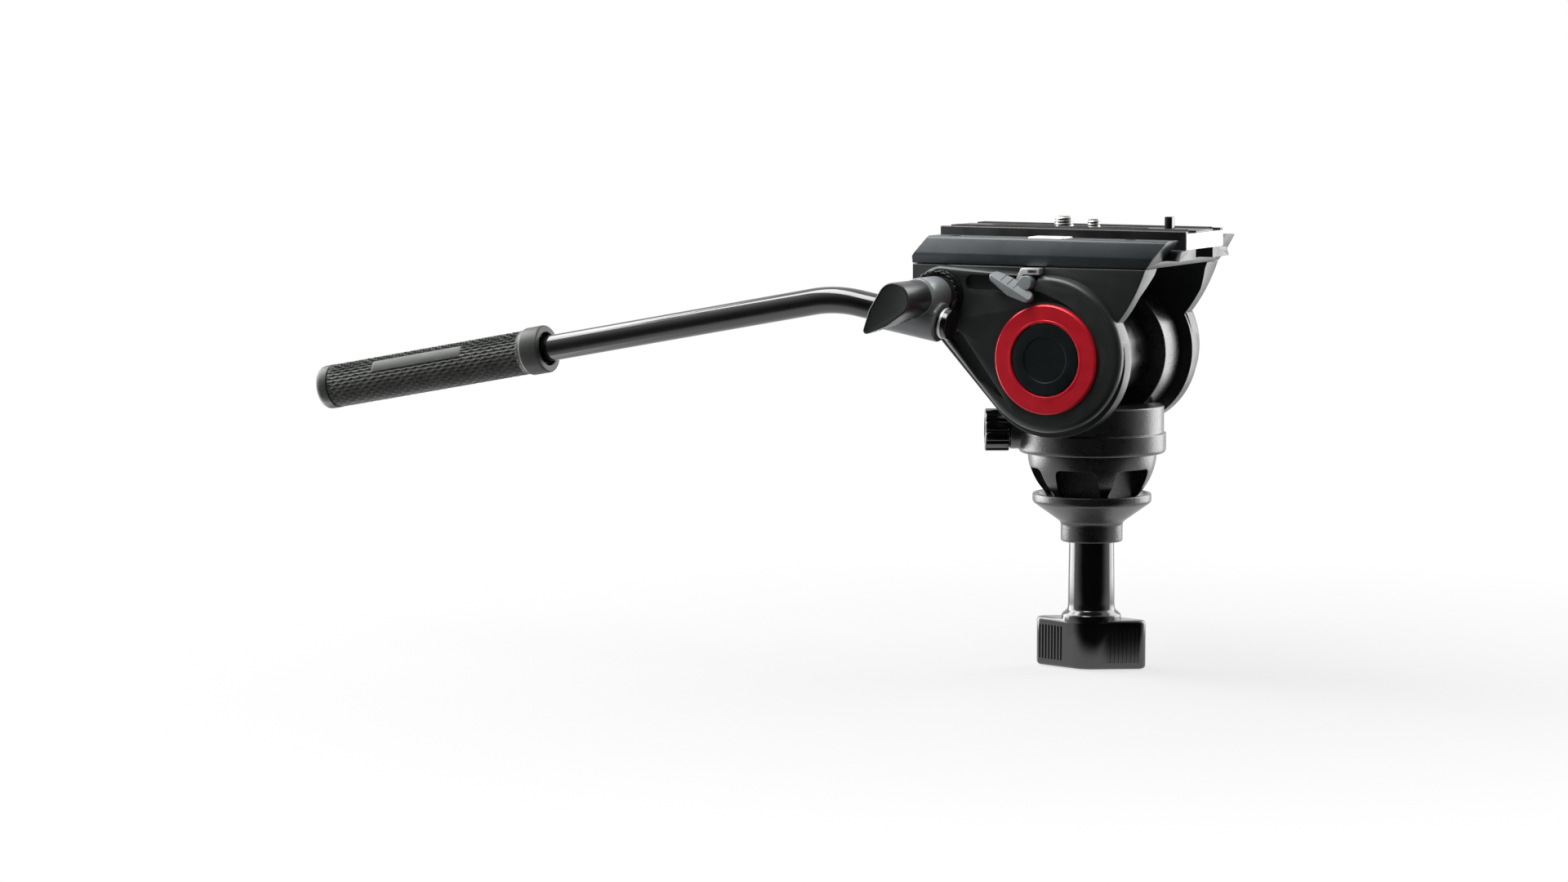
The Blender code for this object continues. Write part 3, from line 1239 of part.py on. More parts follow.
def make_plate_lock(body, cheek, tilt_body):
    """The paddle lever for the camera plate, with its hub and shaft, and its room in the cheek."""
    axis = (LEVER_X, LEVER_Z)
    outline = belt((PADDLE_TIP_X - LEVER_X, PADDLE_TIP_Z - LEVER_Z), PADDLE_TIP_RADIUS,
                   (PADDLE_BACK_X - LEVER_X, PADDLE_BACK_Z - LEVER_Z), PADDLE_BACK_RADIUS)
    lever = extruded("plate_lock_lever", outline, LEVER_OUTER - LEVER_INNER, GREY_PLASTIC)
    soften(lever, PADDLE_EDGE)
    side_piece(lever, body, NEAR, LEVER_INNER, LEVER_OUTER, axis)
    hub = rod("lever_hub", LEVER_HUB_RADIUS, LEVER_HUB_INNER, LEVER_INNER + EMBED, sides=FEW_SIDES)
    tip = Vector((PADDLE_TIP_X - LEVER_X, PADDLE_TIP_Z - LEVER_Z))
    back = Vector((PADDLE_BACK_X - LEVER_X, PADDLE_BACK_Z - LEVER_Z))
    neck = extruded("lever_neck", belt((0, 0), LEVER_HUB_RADIUS - SEAT, tip.lerp(back, LEVER_NECK_SHARE),
                                       LEVER_NECK_RADIUS), EMBED)
    join(lever, side_piece(neck, body, NEAR, RAISED_FACE + SEAT, RAISED_FACE + SEAT + EMBED, axis),
         turned_on_side(hub, body, NEAR, axis))
    socket = rod("lever_socket", LEVER_SHAFT_RADIUS + SEAT, LEVER_HUB_INNER - OVERRUN,
                 LEVER_INNER + SEAT, sides=FEW_SIDES)
    cut(lever, turned_on_side(socket, body, NEAR, axis))
    shaft = rod("plate_lock_shaft", LEVER_SHAFT_RADIUS, LEVER_SHAFT_INNER, LEVER_INNER, STEEL, FEW_SIDES)
    turned_on_side(shaft, body, NEAR, axis)
    hole = rod("lever_shaft_hole", LEVER_SHAFT_RADIUS + SEAT, LEVER_SHAFT_INNER - SEAT, LEVER_OUTER,
               sides=FEW_SIDES)
    room = rod("lever_hub_room", LEVER_HUB_RADIUS + RUN, LEVER_HUB_INNER - SEAT, LEVER_OUTER,
               sides=FEW_SIDES)
    cut(cheek, turned_on_side(hole, tilt_body, NEAR, axis), turned_on_side(room, tilt_body, NEAR, axis))
    along = Vector((PADDLE_TIP_X - PADDLE_BACK_X, PADDLE_TIP_Z - PADDLE_BACK_Z))
    heading = math.atan2(along.y, along.x)
    middle = (Vector((PADDLE_TIP_X, PADDLE_TIP_Z)) + Vector((PADDLE_BACK_X, PADDLE_BACK_Z))) / 2
    ridge = Vector((middle.x, -LEVER_OUTER, middle.y))
    upward = Vector((-along.y, 0, along.x)).normalized()
    inward = Vector((0, 1, 0))
    face = upward * math.sin(PADDLE_SLANT) - inward * math.cos(PADDLE_SLANT)
    slope = upward * math.cos(PADDLE_SLANT) + inward * math.sin(PADDLE_SLANT)
    turn = (-PADDLE_SLANT, -heading, 0)
    reach = along.length
    slant = block("paddle_slant", (-reach, -reach, -reach), (reach, reach, reach))
    put(slant, body, ridge + face * reach, turn)
    cut(lever, slant)
    length = 2 * PADDLE_BACK_RADIUS
    for i in range(PADDLE_GROOVES):
        step = Vector((along.x, 0, along.y)).normalized() * (1 / 2 - i) * PADDLE_GROOVE_PITCH
        groove = block(f"paddle_groove_{i + 1}",
                       (-PADDLE_GROOVE_WIDTH / 2, -PADDLE_GROOVE_DEPTH, -length / 2),
                       (PADDLE_GROOVE_WIDTH / 2, PADDLE_GROOVE_DEPTH, length / 2))
        put(groove, body, ridge + step + slope * (length / 2 + PADDLE_GROOVE_DEPTH), turn)
        cut(lever, groove)


def make_safety_catch(body, cheek, tilt_body):
    """The small metal catch above the lever's hub, and its slot in the cheek."""
    top = CHEEK_TOP_Z - SEAT
    low = (CATCH_X - CATCH_WIDTH / 2, -CATCH_OUTER, top - CATCH_HEIGHT)
    high = (CATCH_X + CATCH_WIDTH / 2, -CATCH_INNER, top)
    catch = put_block("safety_catch", low, high, body, ALUMINIUM)
    soften(catch, CATCH_EDGE)
    recess = put_block("catch_recess",
                       (CATCH_X - CATCH_RECESS / 2, -CATCH_OUTER - OVERRUN, top - CATCH_HEIGHT / 2),
                       (CATCH_X + CATCH_RECESS / 2, -CATCH_OUTER + CATCH_HEIGHT / 4, top + OVERRUN), body)
    cut(catch, recess)
    slot = put_block("catch_slot", (low[0] - SEAT, -CATCH_OUTER - OVERRUN, low[2] - SEAT),
                     (high[0] + SEAT, -CATCH_INNER + CATCH_TRAVEL + SEAT, CHEEK_TOP_Z + OVERRUN),
                     tilt_body)
    cut(cheek, slot)


def make_tilt_lock(body, cheek, tilt_body):
    """The tilt lock lever on the far side, its screw and the pad that bears on the ear."""
    axis = on_circle((TILT_X, TILT_Z), TILT_LOCK_CIRCLE, TILT_LOCK_TURN)
    screw_inner = EAR_OUTER + SEAT + BRAKE_PAD_RADIUS
    lever = rod("tilt_lock_lever", TILT_LOCK_HUB_RADIUS, TILT_LOCK_INNER, TILT_LOCK_OUTER, GREY_PLASTIC,
                FEW_SIDES, PADDLE_EDGE)
    turned_on_side(lever, body, FAR, axis)
    arm = extruded("tilt_lock_arm", belt((0, 0), TILT_LOCK_HUB_RADIUS - RUN,
                                         on_circle((0, 0), TILT_LOCK_ARM, TILT_LOCK_ARM_TURN),
                                         TILT_LOCK_TIP_RADIUS), TILT_LOCK_OUTER - TILT_LOCK_ARM_INNER)
    soften(arm, PADDLE_EDGE, 1)
    join(lever, side_piece(arm, body, FAR, TILT_LOCK_ARM_INNER, TILT_LOCK_OUTER - SEAT, axis))
    socket = rod("tilt_lock_socket", TILT_LOCK_SCREW_RADIUS + SEAT, TILT_LOCK_INNER - OVERRUN,
                 TILT_LOCK_ARM_INNER + SEAT, sides=FEW_SIDES)
    cut(lever, turned_on_side(socket, body, FAR, axis))
    screw = rod("tilt_lock_screw", TILT_LOCK_SCREW_RADIUS, screw_inner, TILT_LOCK_ARM_INNER, STEEL,
                FEW_SIDES)
    turned_on_side(screw, body, FAR, axis)
    pad = rod("tilt_brake_pad", BRAKE_PAD_RADIUS, EAR_OUTER + SEAT, screw_inner - SEAT, BRASS, FEW_SIDES)
    turned_on_side(pad, tilt_body, FAR, axis)
    screw_hole = rod("tilt_lock_hole", TILT_LOCK_SCREW_RADIUS + SEAT, CHEEK_INNER - OVERRUN,
                     RAISED_FACE + OVERRUN, sides=FEW_SIDES)
    pad_hole = rod("brake_pad_hole", BRAKE_PAD_RADIUS + SEAT, CHEEK_INNER - OVERRUN, screw_inner,
                   sides=FEW_SIDES)
    cut(cheek, turned_on_side(screw_hole, tilt_body, FAR, axis),
        turned_on_side(pad_hole, tilt_body, FAR, axis))


def pocket_outline():
    """The lever's pocket from the tilt axis: it runs in between the drag ring and a crescent."""
    land = NEAR_RING_RADIUS + RING_LAND
    heel = (CRESCENT_HEEL_X - TILT_X, CRESCENT_HEEL_Z - TILT_Z)
    bend = (CRESCENT_BEND_X - TILT_X, CRESCENT_BEND_Z - TILT_Z)
    high = POCKET_HIGH_Z - TILT_Z
    low = POCKET_LOW_Z - TILT_Z
    outline = [(CRESCENT_TIP_X - TILT_X, high), (POCKET_REAR_X - TILT_X, high),
               (POCKET_REAR_X - TILT_X, low), (POCKET_BEND_X - TILT_X, low),
               (POCKET_TURN_X - TILT_X, POCKET_TURN_Z - TILT_Z)]
    outline += arc((0, 0), land, POCKET_END, CRESCENT_START)
    outline += curved(on_circle((0, 0), land, CRESCENT_START), bend, heel, 4)
    return outline + [heel]


def make_platform(body, lever_body, jaw_body, catch_body, tilt_lock_body):
    """Everything that tilts: both side housings, the receiver and what stands on them."""
    near = make_cheek("near_cheek", NEAR, body, NEAR_CARTRIDGE_RADIUS)
    far = make_cheek("far_cheek", FAR, body, FAR_CARTRIDGE_RADIUS)
    pocket = extruded("lever_pocket", pocket_outline(), POCKET_DEPTH + OVERRUN)
    cut(near, side_piece(pocket, body, NEAR, RAISED_FACE - POCKET_DEPTH, RAISED_FACE + OVERRUN))
    make_drag_side("near", NEAR, body, NEAR_CARTRIDGE_RADIUS, NEAR_RING_RADIUS, NEAR_CAP_RADIUS,
                   RED_ANODISED, WIDE_SIDES)
    make_drag_side("far", FAR, body, FAR_CARTRIDGE_RADIUS, FAR_RING_RADIUS, FAR_CAP_RADIUS,
                   BLACK_ANODISED, SIDES)
    make_rosette("near_rosette", NEAR, body)
    make_rosette("far_rosette", FAR, body)
    receiver = make_receiver(body)
    make_receiver_screws(body, receiver, ((NEAR, near), (FAR, far)))
    make_plate_lock(lever_body, near, body)
    make_jaw(jaw_body)
    make_safety_catch(catch_body, near, body)
    make_tilt_lock(tilt_lock_body, far, body)


def plate_section():
    """Half of the camera plate's section: a dovetail base, a narrower top and its rubber grooves."""
    bottom = CHANNEL_FLOOR_Z + SEAT
    slope = (CHANNEL_HALF_FLOOR - CHANNEL_HALF_LIP) / (CHANNEL_LIP_Z - CHANNEL_FLOOR_Z)
    base_top = bottom + PLATE_BASE
    base_half = CHANNEL_HALF_FLOOR - slope * SEAT - 2 * RUN
    lip_half = base_half - slope * PLATE_BASE
    floor = PLATE_TOP_Z - PAD_DEPTH
    return [
        (PLATE_CHANNEL_HALF, bottom), (base_half, bottom), (lip_half, base_top),
        (PLATE_HALF_TOP, base_top), (PLATE_HALF_TOP, PLATE_TOP_Z - PLATE_EDGE),
        (PLATE_HALF_TOP - PLATE_EDGE, PLATE_TOP_Z),
        (PAD_Y + PAD_WIDTH / 2 + SEAT, PLATE_TOP_Z), (PAD_Y + PAD_WIDTH / 2 + SEAT, floor),
        (PAD_Y - PAD_WIDTH / 2 - SEAT, floor), (PAD_Y - PAD_WIDTH / 2 - SEAT, PLATE_TOP_Z),
    ]


def make_camera_plate(body):
    """The long plate with its dovetail, screw slot, screw channel and two rubber strips."""
    half = plate_section()
    under = [(-PLATE_CHANNEL_HALF, PLATE_CHANNEL_TOP_Z), (PLATE_CHANNEL_HALF, PLATE_CHANNEL_TOP_Z)]
    section = half + [(-y, z) for y, z in reversed(half)] + under
    plate = extruded("camera_plate", section, PLATE_LENGTH, BLACK_ANODISED)
    middle = PLATE_REAR_X + PLATE_LENGTH / 2
    put(plate, body, (middle, 0, 0), ALONG_X)
    slot_half = LARGE_THREAD_RADIUS + SEAT
    slot = extruded("plate_slot", belt((SLOT_REAR_X, 0), slot_half, (SLOT_FRONT_X, 0), slot_half),
                    2 * (PLATE_TOP_Z - PLATE_CHANNEL_TOP_Z))
    cut(plate, put(slot, body, (0, 0, PLATE_TOP_Z)))
    pin_hole = put_block("pin_hole",
                         (PIN_X - PIN_WIDTH / 2 - SEAT, -PIN_WIDTH / 2 - SEAT, PLATE_CHANNEL_TOP_Z - OVERRUN),
                         (PIN_X + PIN_WIDTH / 2 + SEAT, PIN_WIDTH / 2 + SEAT, PLATE_TOP_Z + OVERRUN), body)
    pin_pocket = rod("pin_pocket", PIN_POCKET_RADIUS, PLATE_CHANNEL_TOP_Z - OVERRUN, PIN_POCKET_TOP_Z,
                     sides=FEW_SIDES)
    cut(plate, pin_hole, put(pin_pocket, body, (PIN_X, 0, 0)))
    ribs = [(-PAD_WIDTH / 2, -PAD_DEPTH + SEAT)]
    ribs += [(PAD_WIDTH / 2, -PAD_DEPTH + SEAT), (PAD_WIDTH / 2, PAD_PROUD)]
    for i in range(1, PAD_RIBS):
        y = PAD_WIDTH / 2 - i * PAD_WIDTH / PAD_RIBS
        ribs += [(y + PAD_PROUD / 2, PAD_PROUD), (y + PAD_PROUD / 2, 0),
                 (y - PAD_PROUD / 2, 0), (y - PAD_PROUD / 2, PAD_PROUD)]
    ribs.append((-PAD_WIDTH / 2, PAD_PROUD))
    for side, name in ((NEAR, "near"), (FAR, "far")):
        pad = extruded(f"plate_pad_{name}", ribs, PLATE_LENGTH - 2 * PAD_MARGIN, PLATE_RUBBER)
        put(pad, body, (middle, side * PAD_Y, PLATE_TOP_Z), ALONG_X)
    return plate


def threaded(radius, low, high):
    """The outline down the outer side of a threaded rod, with ring-shaped thread turns."""
    outline = [(radius - SCREW_POINT, high)]
    height = high - SCREW_POINT
    while height - THREAD_PITCH > low:
        outline += [(radius, height), (radius, height - THREAD_PITCH / 4),
                    (radius - THREAD_DEPTH, height - THREAD_PITCH / 2),
                    (radius - THREAD_DEPTH, height - THREAD_PITCH * 3 / 4)]
        height -= THREAD_PITCH
    outline.append((radius, height))
    return outline


def make_camera_screw(name, body, x, radius, rise, collar_radius):
    """A camera screw that turns in the plate's slot, its slotted head below."""
    head_top = PLATE_CHANNEL_TOP_Z - SEAT
    head_bottom = head_top - SCREW_HEAD
    top = PLATE_TOP_Z + rise
    collar_top = PLATE_TOP_Z - SMALL_COLLAR_DROP
    outline = [(0, top)] + threaded(radius, collar_top, top)
    if collar_radius > radius:
        outline += [(radius, collar_top), (collar_radius, collar_top)]
    outline += [(collar_radius, head_top), (SCREW_HEAD_RADIUS, head_top),
                (SCREW_HEAD_RADIUS, head_bottom), (0, head_bottom)]
    screw = turned(name, outline, STEEL, FEW_SIDES)
    put(screw, body, (x, 0, 0))
    slot = put_block(f"{name}_slot",
                     (x - SCREW_HEAD_RADIUS - OVERRUN, -SCREW_SLOT_WIDTH / 2, head_bottom - OVERRUN),
                     (x + SCREW_HEAD_RADIUS + OVERRUN, SCREW_SLOT_WIDTH / 2,
                      head_bottom + SCREW_SLOT_DEPTH), body)
    cut(screw, slot)


def make_guide_pin(body, plate_body):
    """The square video pin with a round flange, and the spring that holds it up."""
    flange_top = PIN_POCKET_TOP_Z - SEAT
    flange_bottom = flange_top - PIN_FLANGE
    pin = put_block("guide_pin", (PIN_X - PIN_WIDTH / 2, -PIN_WIDTH / 2, flange_top - PIN_FLANGE / 2),
                    (PIN_X + PIN_WIDTH / 2, PIN_WIDTH / 2, PLATE_TOP_Z + PIN_RISE), body, BLACK_PLASTIC)
    soften(pin, SEAT)
    flange = rod("pin_flange", PIN_FLANGE_RADIUS, flange_bottom, flange_top, sides=FEW_SIDES)
    join(pin, put(flange, body, (PIN_X, 0, 0)))
    low = CHANNEL_FLOOR_Z + 2 * SEAT + PIN_SPRING_WIRE
    coil = helix(PIN_SPRING_RADIUS, low, flange_bottom - SEAT - PIN_SPRING_WIRE, PIN_SPRING_TURNS,
                 PIN_SPRING_POINTS)
    put(tube("guide_pin_spring", coil, PIN_SPRING_WIRE, STEEL, 1), plate_body, (PIN_X, 0, 0))


def bar_frame():
    """The bar's front end direction, its corner and its rear direction, in the plane of the bar."""
    foot = (ROSETTE_X, BAR_AXIS_Z)
    front = (math.cos(BAR_FRONT_ANGLE), -math.sin(BAR_FRONT_ANGLE))
    corner = (foot[0] - BAR_CORNER, foot[1] + BAR_CORNER * math.tan(BAR_FRONT_ANGLE))
    rear = (-math.cos(BAR_REAR_ANGLE), -math.sin(BAR_REAR_ANGLE))
    return foot, front, corner, rear


def bar_path():
    """The tube's centre line: straight through the holder, one bend, straight into the grip."""
    foot, front, corner, rear = bar_frame()
    bend = BAR_FRONT_ANGLE + BAR_REAR_ANGLE
    run = BAR_BEND_RADIUS * math.tan(bend / 2)
    reach = SLEEVE_FRONT
    start = Vector(foot) + Vector(front) * reach
    first = Vector(corner) + Vector(front) * run
    points = [start]
    centre = first + Vector((-front[1], front[0])) * -BAR_BEND_RADIUS
    angle = math.atan2(first.y - centre.y, first.x - centre.x)
    for i in range(BAR_BEND_STEPS + 1):
        points.append(Vector(on_circle(centre, BAR_BEND_RADIUS, angle + bend * i / BAR_BEND_STEPS)))
    points.append(Vector(corner) + Vector(rear) * (GRIP_START + BAR_IN_GRIP))
    return points


def make_bar_holder(body):
    """The holder: a notched ring, a clamp barrel across the bar and a split sleeve along it."""
    axis = (ROSETTE_X, ROSETTE_Z)
    ring_low = ROSETTE_FACE + SEAT
    ring_high = ring_low + HOLDER_RING
    bore = BOLT_RADIUS + SEAT
    band = HOLDER_BAND
    holder = turned("bar_holder", [
        (0, HOLDER_OUTER), (HOLDER_RADIUS - band, HOLDER_OUTER), (HOLDER_RADIUS, HOLDER_OUTER - band),
        (HOLDER_RADIUS, ring_high - EMBED), (0, ring_high - EMBED),
    ], GREY_PLASTIC)
    turned_on_side(holder, body, NEAR, axis)
    notched = extruded("holder_ring", toothed(ROSETTE_RADIUS, HOLDER_NOTCH, HOLDER_NOTCHES), HOLDER_RING)
    join(holder, side_piece(notched, body, NEAR, ring_low, ring_high, axis))
    foot, front, _, _ = bar_frame()
    along = (0, math.pi / 2 + BAR_FRONT_ANGLE, 0)
    place = (foot[0], BAR_Y, foot[1])
    sleeve = rod("bar_sleeve", SLEEVE_RADIUS, -SLEEVE_REAR, SLEEVE_FRONT, edge=SLEEVE_EDGE)
    join(holder, put(sleeve, body, place, along))
    bar_bore = rod("bar_bore", BAR_RADIUS + SEAT, -SLEEVE_REAR - OVERRUN, SLEEVE_FRONT + OVERRUN)
    bolt_bore = rod("bolt_bore", bore, ROSETTE_FACE - OVERRUN, HOLDER_OUTER + OVERRUN, sides=FEW_SIDES)
    slit = block("sleeve_slit", (0, -SLEEVE_SLIT / 2, -SLEEVE_REAR - OVERRUN),
                 (2 * SLEEVE_RADIUS, SLEEVE_SLIT / 2, SLEEVE_FRONT + OVERRUN))
    slit_place = Vector(place) + Vector((-math.sin(BAR_FRONT_ANGLE), 0, -math.cos(BAR_FRONT_ANGLE))) \
        * SLEEVE_RADIUS + Vector((front[0], 0, front[1])) * (SLEEVE_FRONT - SLEEVE_REAR) / 2
    cut(holder, put(bar_bore, body, place, along), turned_on_side(bolt_bore, body, NEAR, axis),
        put(slit, body, slit_place, along))


def make_pan_bar(body):
    """The bent tube in its holder, with the plug in its front end and the grip on its rear end."""
    make_bar_holder(body)
    points = [(point.x, BAR_Y, point.y) for point in bar_path()]
    bar = put(tube("bar_tube", points, BAR_RADIUS, GLOSS_TUBE), body)
    foot, front, corner, rear = bar_frame()
    along = (0, math.pi / 2 + BAR_FRONT_ANGLE, 0)
    place = (foot[0], BAR_Y, foot[1])
    tail = BAR_RADIUS - BAR_WALL - SEAT
    low = SLEEVE_FRONT + SEAT
    high = low + PLUG_HEAD
    plug = turned("bar_end_plug", [
        (0, high), (PLUG_RADIUS - PLUG_EDGE, high), (PLUG_RADIUS, high - PLUG_EDGE),
        (PLUG_RADIUS, low + PLUG_HEAD / 2), (PLUG_RADIUS - PLUG_GROOVE, low + PLUG_HEAD / 2 - PLUG_GROOVE),
        (PLUG_RADIUS - PLUG_GROOVE, low), (tail, low), (tail, low - PLUG_TAIL), (0, low - PLUG_TAIL),
    ], BLACK_PLASTIC)
    put(plug, body, place, along)
    plug_hole = rod("plug_hole", tail + SEAT, low - PLUG_TAIL - SEAT, high, sides=FEW_SIDES)
    cut(bar, put(plug_hole, body, place, along))
    rearward = (0, -math.pi / 2 - BAR_REAR_ANGLE, 0)
    turn_place = (corner[0], BAR_Y, corner[1])
    start = GRIP_START
    end = GRIP_START + GRIP_LENGTH
    hole = BAR_RADIUS + SEAT
    mouth = hole + GRIP_MOUTH
    cap_seat = end - GRIP_END
    grip = turned("grip", [
        (hole, cap_seat), (GRIP_RADIUS - SEAT, cap_seat), (GRIP_RADIUS, cap_seat - SEAT),
        (GRIP_RADIUS, start + GRIP_COLLAR + GRIP_COLLAR / 4),
        (GRIP_COLLAR_RADIUS, start + GRIP_COLLAR),
        (GRIP_COLLAR_RADIUS, start + PLUG_EDGE), (GRIP_COLLAR_RADIUS - PLUG_EDGE, start),
        (mouth, start), (mouth, start + GRIP_MOUTH_DEPTH), (hole, start + GRIP_MOUTH_DEPTH),
    ], GRIP_RUBBER, SIDES)
    put(grip, body, turn_place, rearward)
    inner_edge = GRIP_RADIUS - GRIP_END_EDGE
    cap = turned("grip_end_cap", [
        (0, end), (inner_edge, end),
        *curved((inner_edge, end), (GRIP_RADIUS, end), (GRIP_RADIUS, end - GRIP_END_EDGE), 3),
        (GRIP_RADIUS, end - GRIP_END_EDGE), (GRIP_RADIUS, cap_seat + SEAT),
        (BAR_RADIUS, cap_seat + SEAT), (BAR_RADIUS, cap_seat - GRIP_END_PLUG),
        (0, cap_seat - GRIP_END_PLUG),
    ], GRIP_RUBBER, SIDES)
    put(cap, body, turn_place, rearward)


def make_bar_clamp(body):
    """The wing knob that clamps the bar: a barrel with one swept wing, and the bolt in it."""
    axis = (ROSETTE_X, ROSETTE_Z)
    length = CLAMP_HUB_OUTER - CLAMP_HUB_INNER
    knob = rod("bar_clamp_knob", CLAMP_HUB_RADIUS, CLAMP_HUB_INNER, CLAMP_HUB_OUTER - SEAT, GREY_PLASTIC,
               edge=CLAMP_EDGE)
    turned_on_side(knob, body, NEAR, axis)
    tip = on_circle((0, 0), CLAMP_WING_REACH, CLAMP_WING_TURN)
    wing = extruded("clamp_wing", belt((0, 0), CLAMP_HUB_RADIUS - SEAT, tip, CLAMP_WING_TIP), length)
    side_piece(wing, body, NEAR, CLAMP_HUB_INNER + SEAT, CLAMP_HUB_OUTER + SEAT, axis)
    reach = CLAMP_WING_REACH + OVERRUN
    inner = CLAMP_HUB_RADIUS - CLAMP_EDGE
    sweep = extruded("wing_sweep_cutter", [
        (inner, CLAMP_HUB_INNER - OVERRUN),
        (reach, CLAMP_HUB_INNER - OVERRUN),
        (reach, CLAMP_HUB_OUTER - CLAMP_WING_TIP_DEPTH),
        (CLAMP_WING_REACH, CLAMP_HUB_OUTER - CLAMP_WING_TIP_DEPTH),
        (inner, CLAMP_HUB_INNER + CLAMP_WING_TIP_DEPTH),
    ], 2 * CLAMP_HUB_RADIUS + OVERRUN)
    put(sweep, body, (axis[0], 0, axis[1]), (0, 0, 0))
    sweep.rotation_mode = "QUATERNION"
    sweep.rotation_quaternion = wing_turn()
    cut(wing, sweep)
    join(knob, wing)
    grip = CLAMP_HUB_INNER + CLAMP_BOLT_GRIP
    socket = rod("clamp_socket", BOLT_RADIUS + SEAT, CLAMP_HUB_INNER - OVERRUN, grip + SEAT,
                 sides=FEW_SIDES)
    cut(knob, turned_on_side(socket, body, NEAR, axis))
    bolt = rod("bar_clamp_bolt", BOLT_RADIUS, BOLT_INNER, grip, STEEL, FEW_SIDES)
    turned_on_side(bolt, body, NEAR, axis)


def wing_turn():
    """Turns an outline of (reach, distance) so that its reach follows the wing."""
    reach = Vector((math.cos(CLAMP_WING_TURN), 0, math.sin(CLAMP_WING_TURN)))
    outward = Vector((0, -1, 0))
    across = reach.cross(outward)
    return Matrix((reach, outward, across)).transposed().to_quaternion()


def main():
    ball_base = joint("ball_base", (0, 0, 0))
    bowl_clamp = joint("bowl_clamp", (0, 0, CUP_CONE_Z), ball_base)
    tie_down = joint("tie_down", (0, 0, WING_TOP_Z), bowl_clamp)
    pan = joint("pan", (0, 0, 0), ball_base)
    lock_place = on_circle((0, 0), PAN_BOSS_REACH, PAN_LOCK_TURN)
    pan_lock = joint("pan_lock", (*lock_place, PAN_LOCK_Z), pan)
    tilt = joint("tilt", (TILT_X, 0, TILT_Z), pan)
    plate_lock = joint("plate_lock", (LEVER_X, -LEVER_INNER, LEVER_Z), tilt)
    jaw = joint("jaw", (LEVER_X, -JAW_OUTER_Y, CHANNEL_FLOOR_Z), tilt)
    catch = joint("catch", (CATCH_X, -CATCH_OUTER, CHEEK_TOP_Z), tilt)
    x, z = on_circle((TILT_X, TILT_Z), TILT_LOCK_CIRCLE, TILT_LOCK_TURN)
    tilt_lock = joint("tilt_lock", (x, TILT_LOCK_INNER, z), tilt)
    sliding_plate = joint("sliding_plate", (0, 0, PLATE_TOP_Z), tilt)
    large_screw = joint("large_screw", (LARGE_SCREW_X, 0, PLATE_TOP_Z), sliding_plate)
    small_screw = joint("small_screw", (SMALL_SCREW_X, 0, PLATE_TOP_Z), sliding_plate)
    pin = joint("pin", (PIN_X, 0, PLATE_TOP_Z), sliding_plate)
    pan_bar = joint("pan_bar", (ROSETTE_X, BAR_Y, ROSETTE_Z), tilt)
    bar_clamp = joint("bar_clamp", (ROSETTE_X, -CLAMP_HUB_OUTER, ROSETTE_Z), pan_bar)

    make_ball_base(ball_base)
    make_bowl_clamp(bowl_clamp)
    make_tie_down_knob(tie_down)
    make_pan_housing(pan)
    make_pan_insides(pan)
    make_pan_lock(pan_lock)
    make_platform(tilt, plate_lock, jaw, catch, tilt_lock)
    make_camera_plate(sliding_plate)
    make_camera_screw("large_camera_screw", large_screw, LARGE_SCREW_X, LARGE_THREAD_RADIUS,
                      LARGE_THREAD_RISE, LARGE_THREAD_RADIUS)
    make_camera_screw("small_camera_screw", small_screw, SMALL_SCREW_X, SMALL_THREAD_RADIUS,
                      SMALL_THREAD_RISE, LARGE_THREAD_RADIUS)
    make_guide_pin(pin, sliding_plate)
    make_pan_bar(pan_bar)
    make_bar_clamp(bar_clamp)


main()
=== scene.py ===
"""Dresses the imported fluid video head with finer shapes, finishes, a camera and a studio.

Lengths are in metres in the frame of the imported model: +Z is up, +X is the front of the
head, and -Y is the side with the pan bar. Each operator makes one piece or one group of
like pieces, and a piece called fine_... stands for the CAD node of that name.
"""

import json
import math

import bmesh
import bpy
from bpy.props import FloatProperty, FloatVectorProperty, IntProperty, PointerProperty
from mathutils import Matrix, Vector

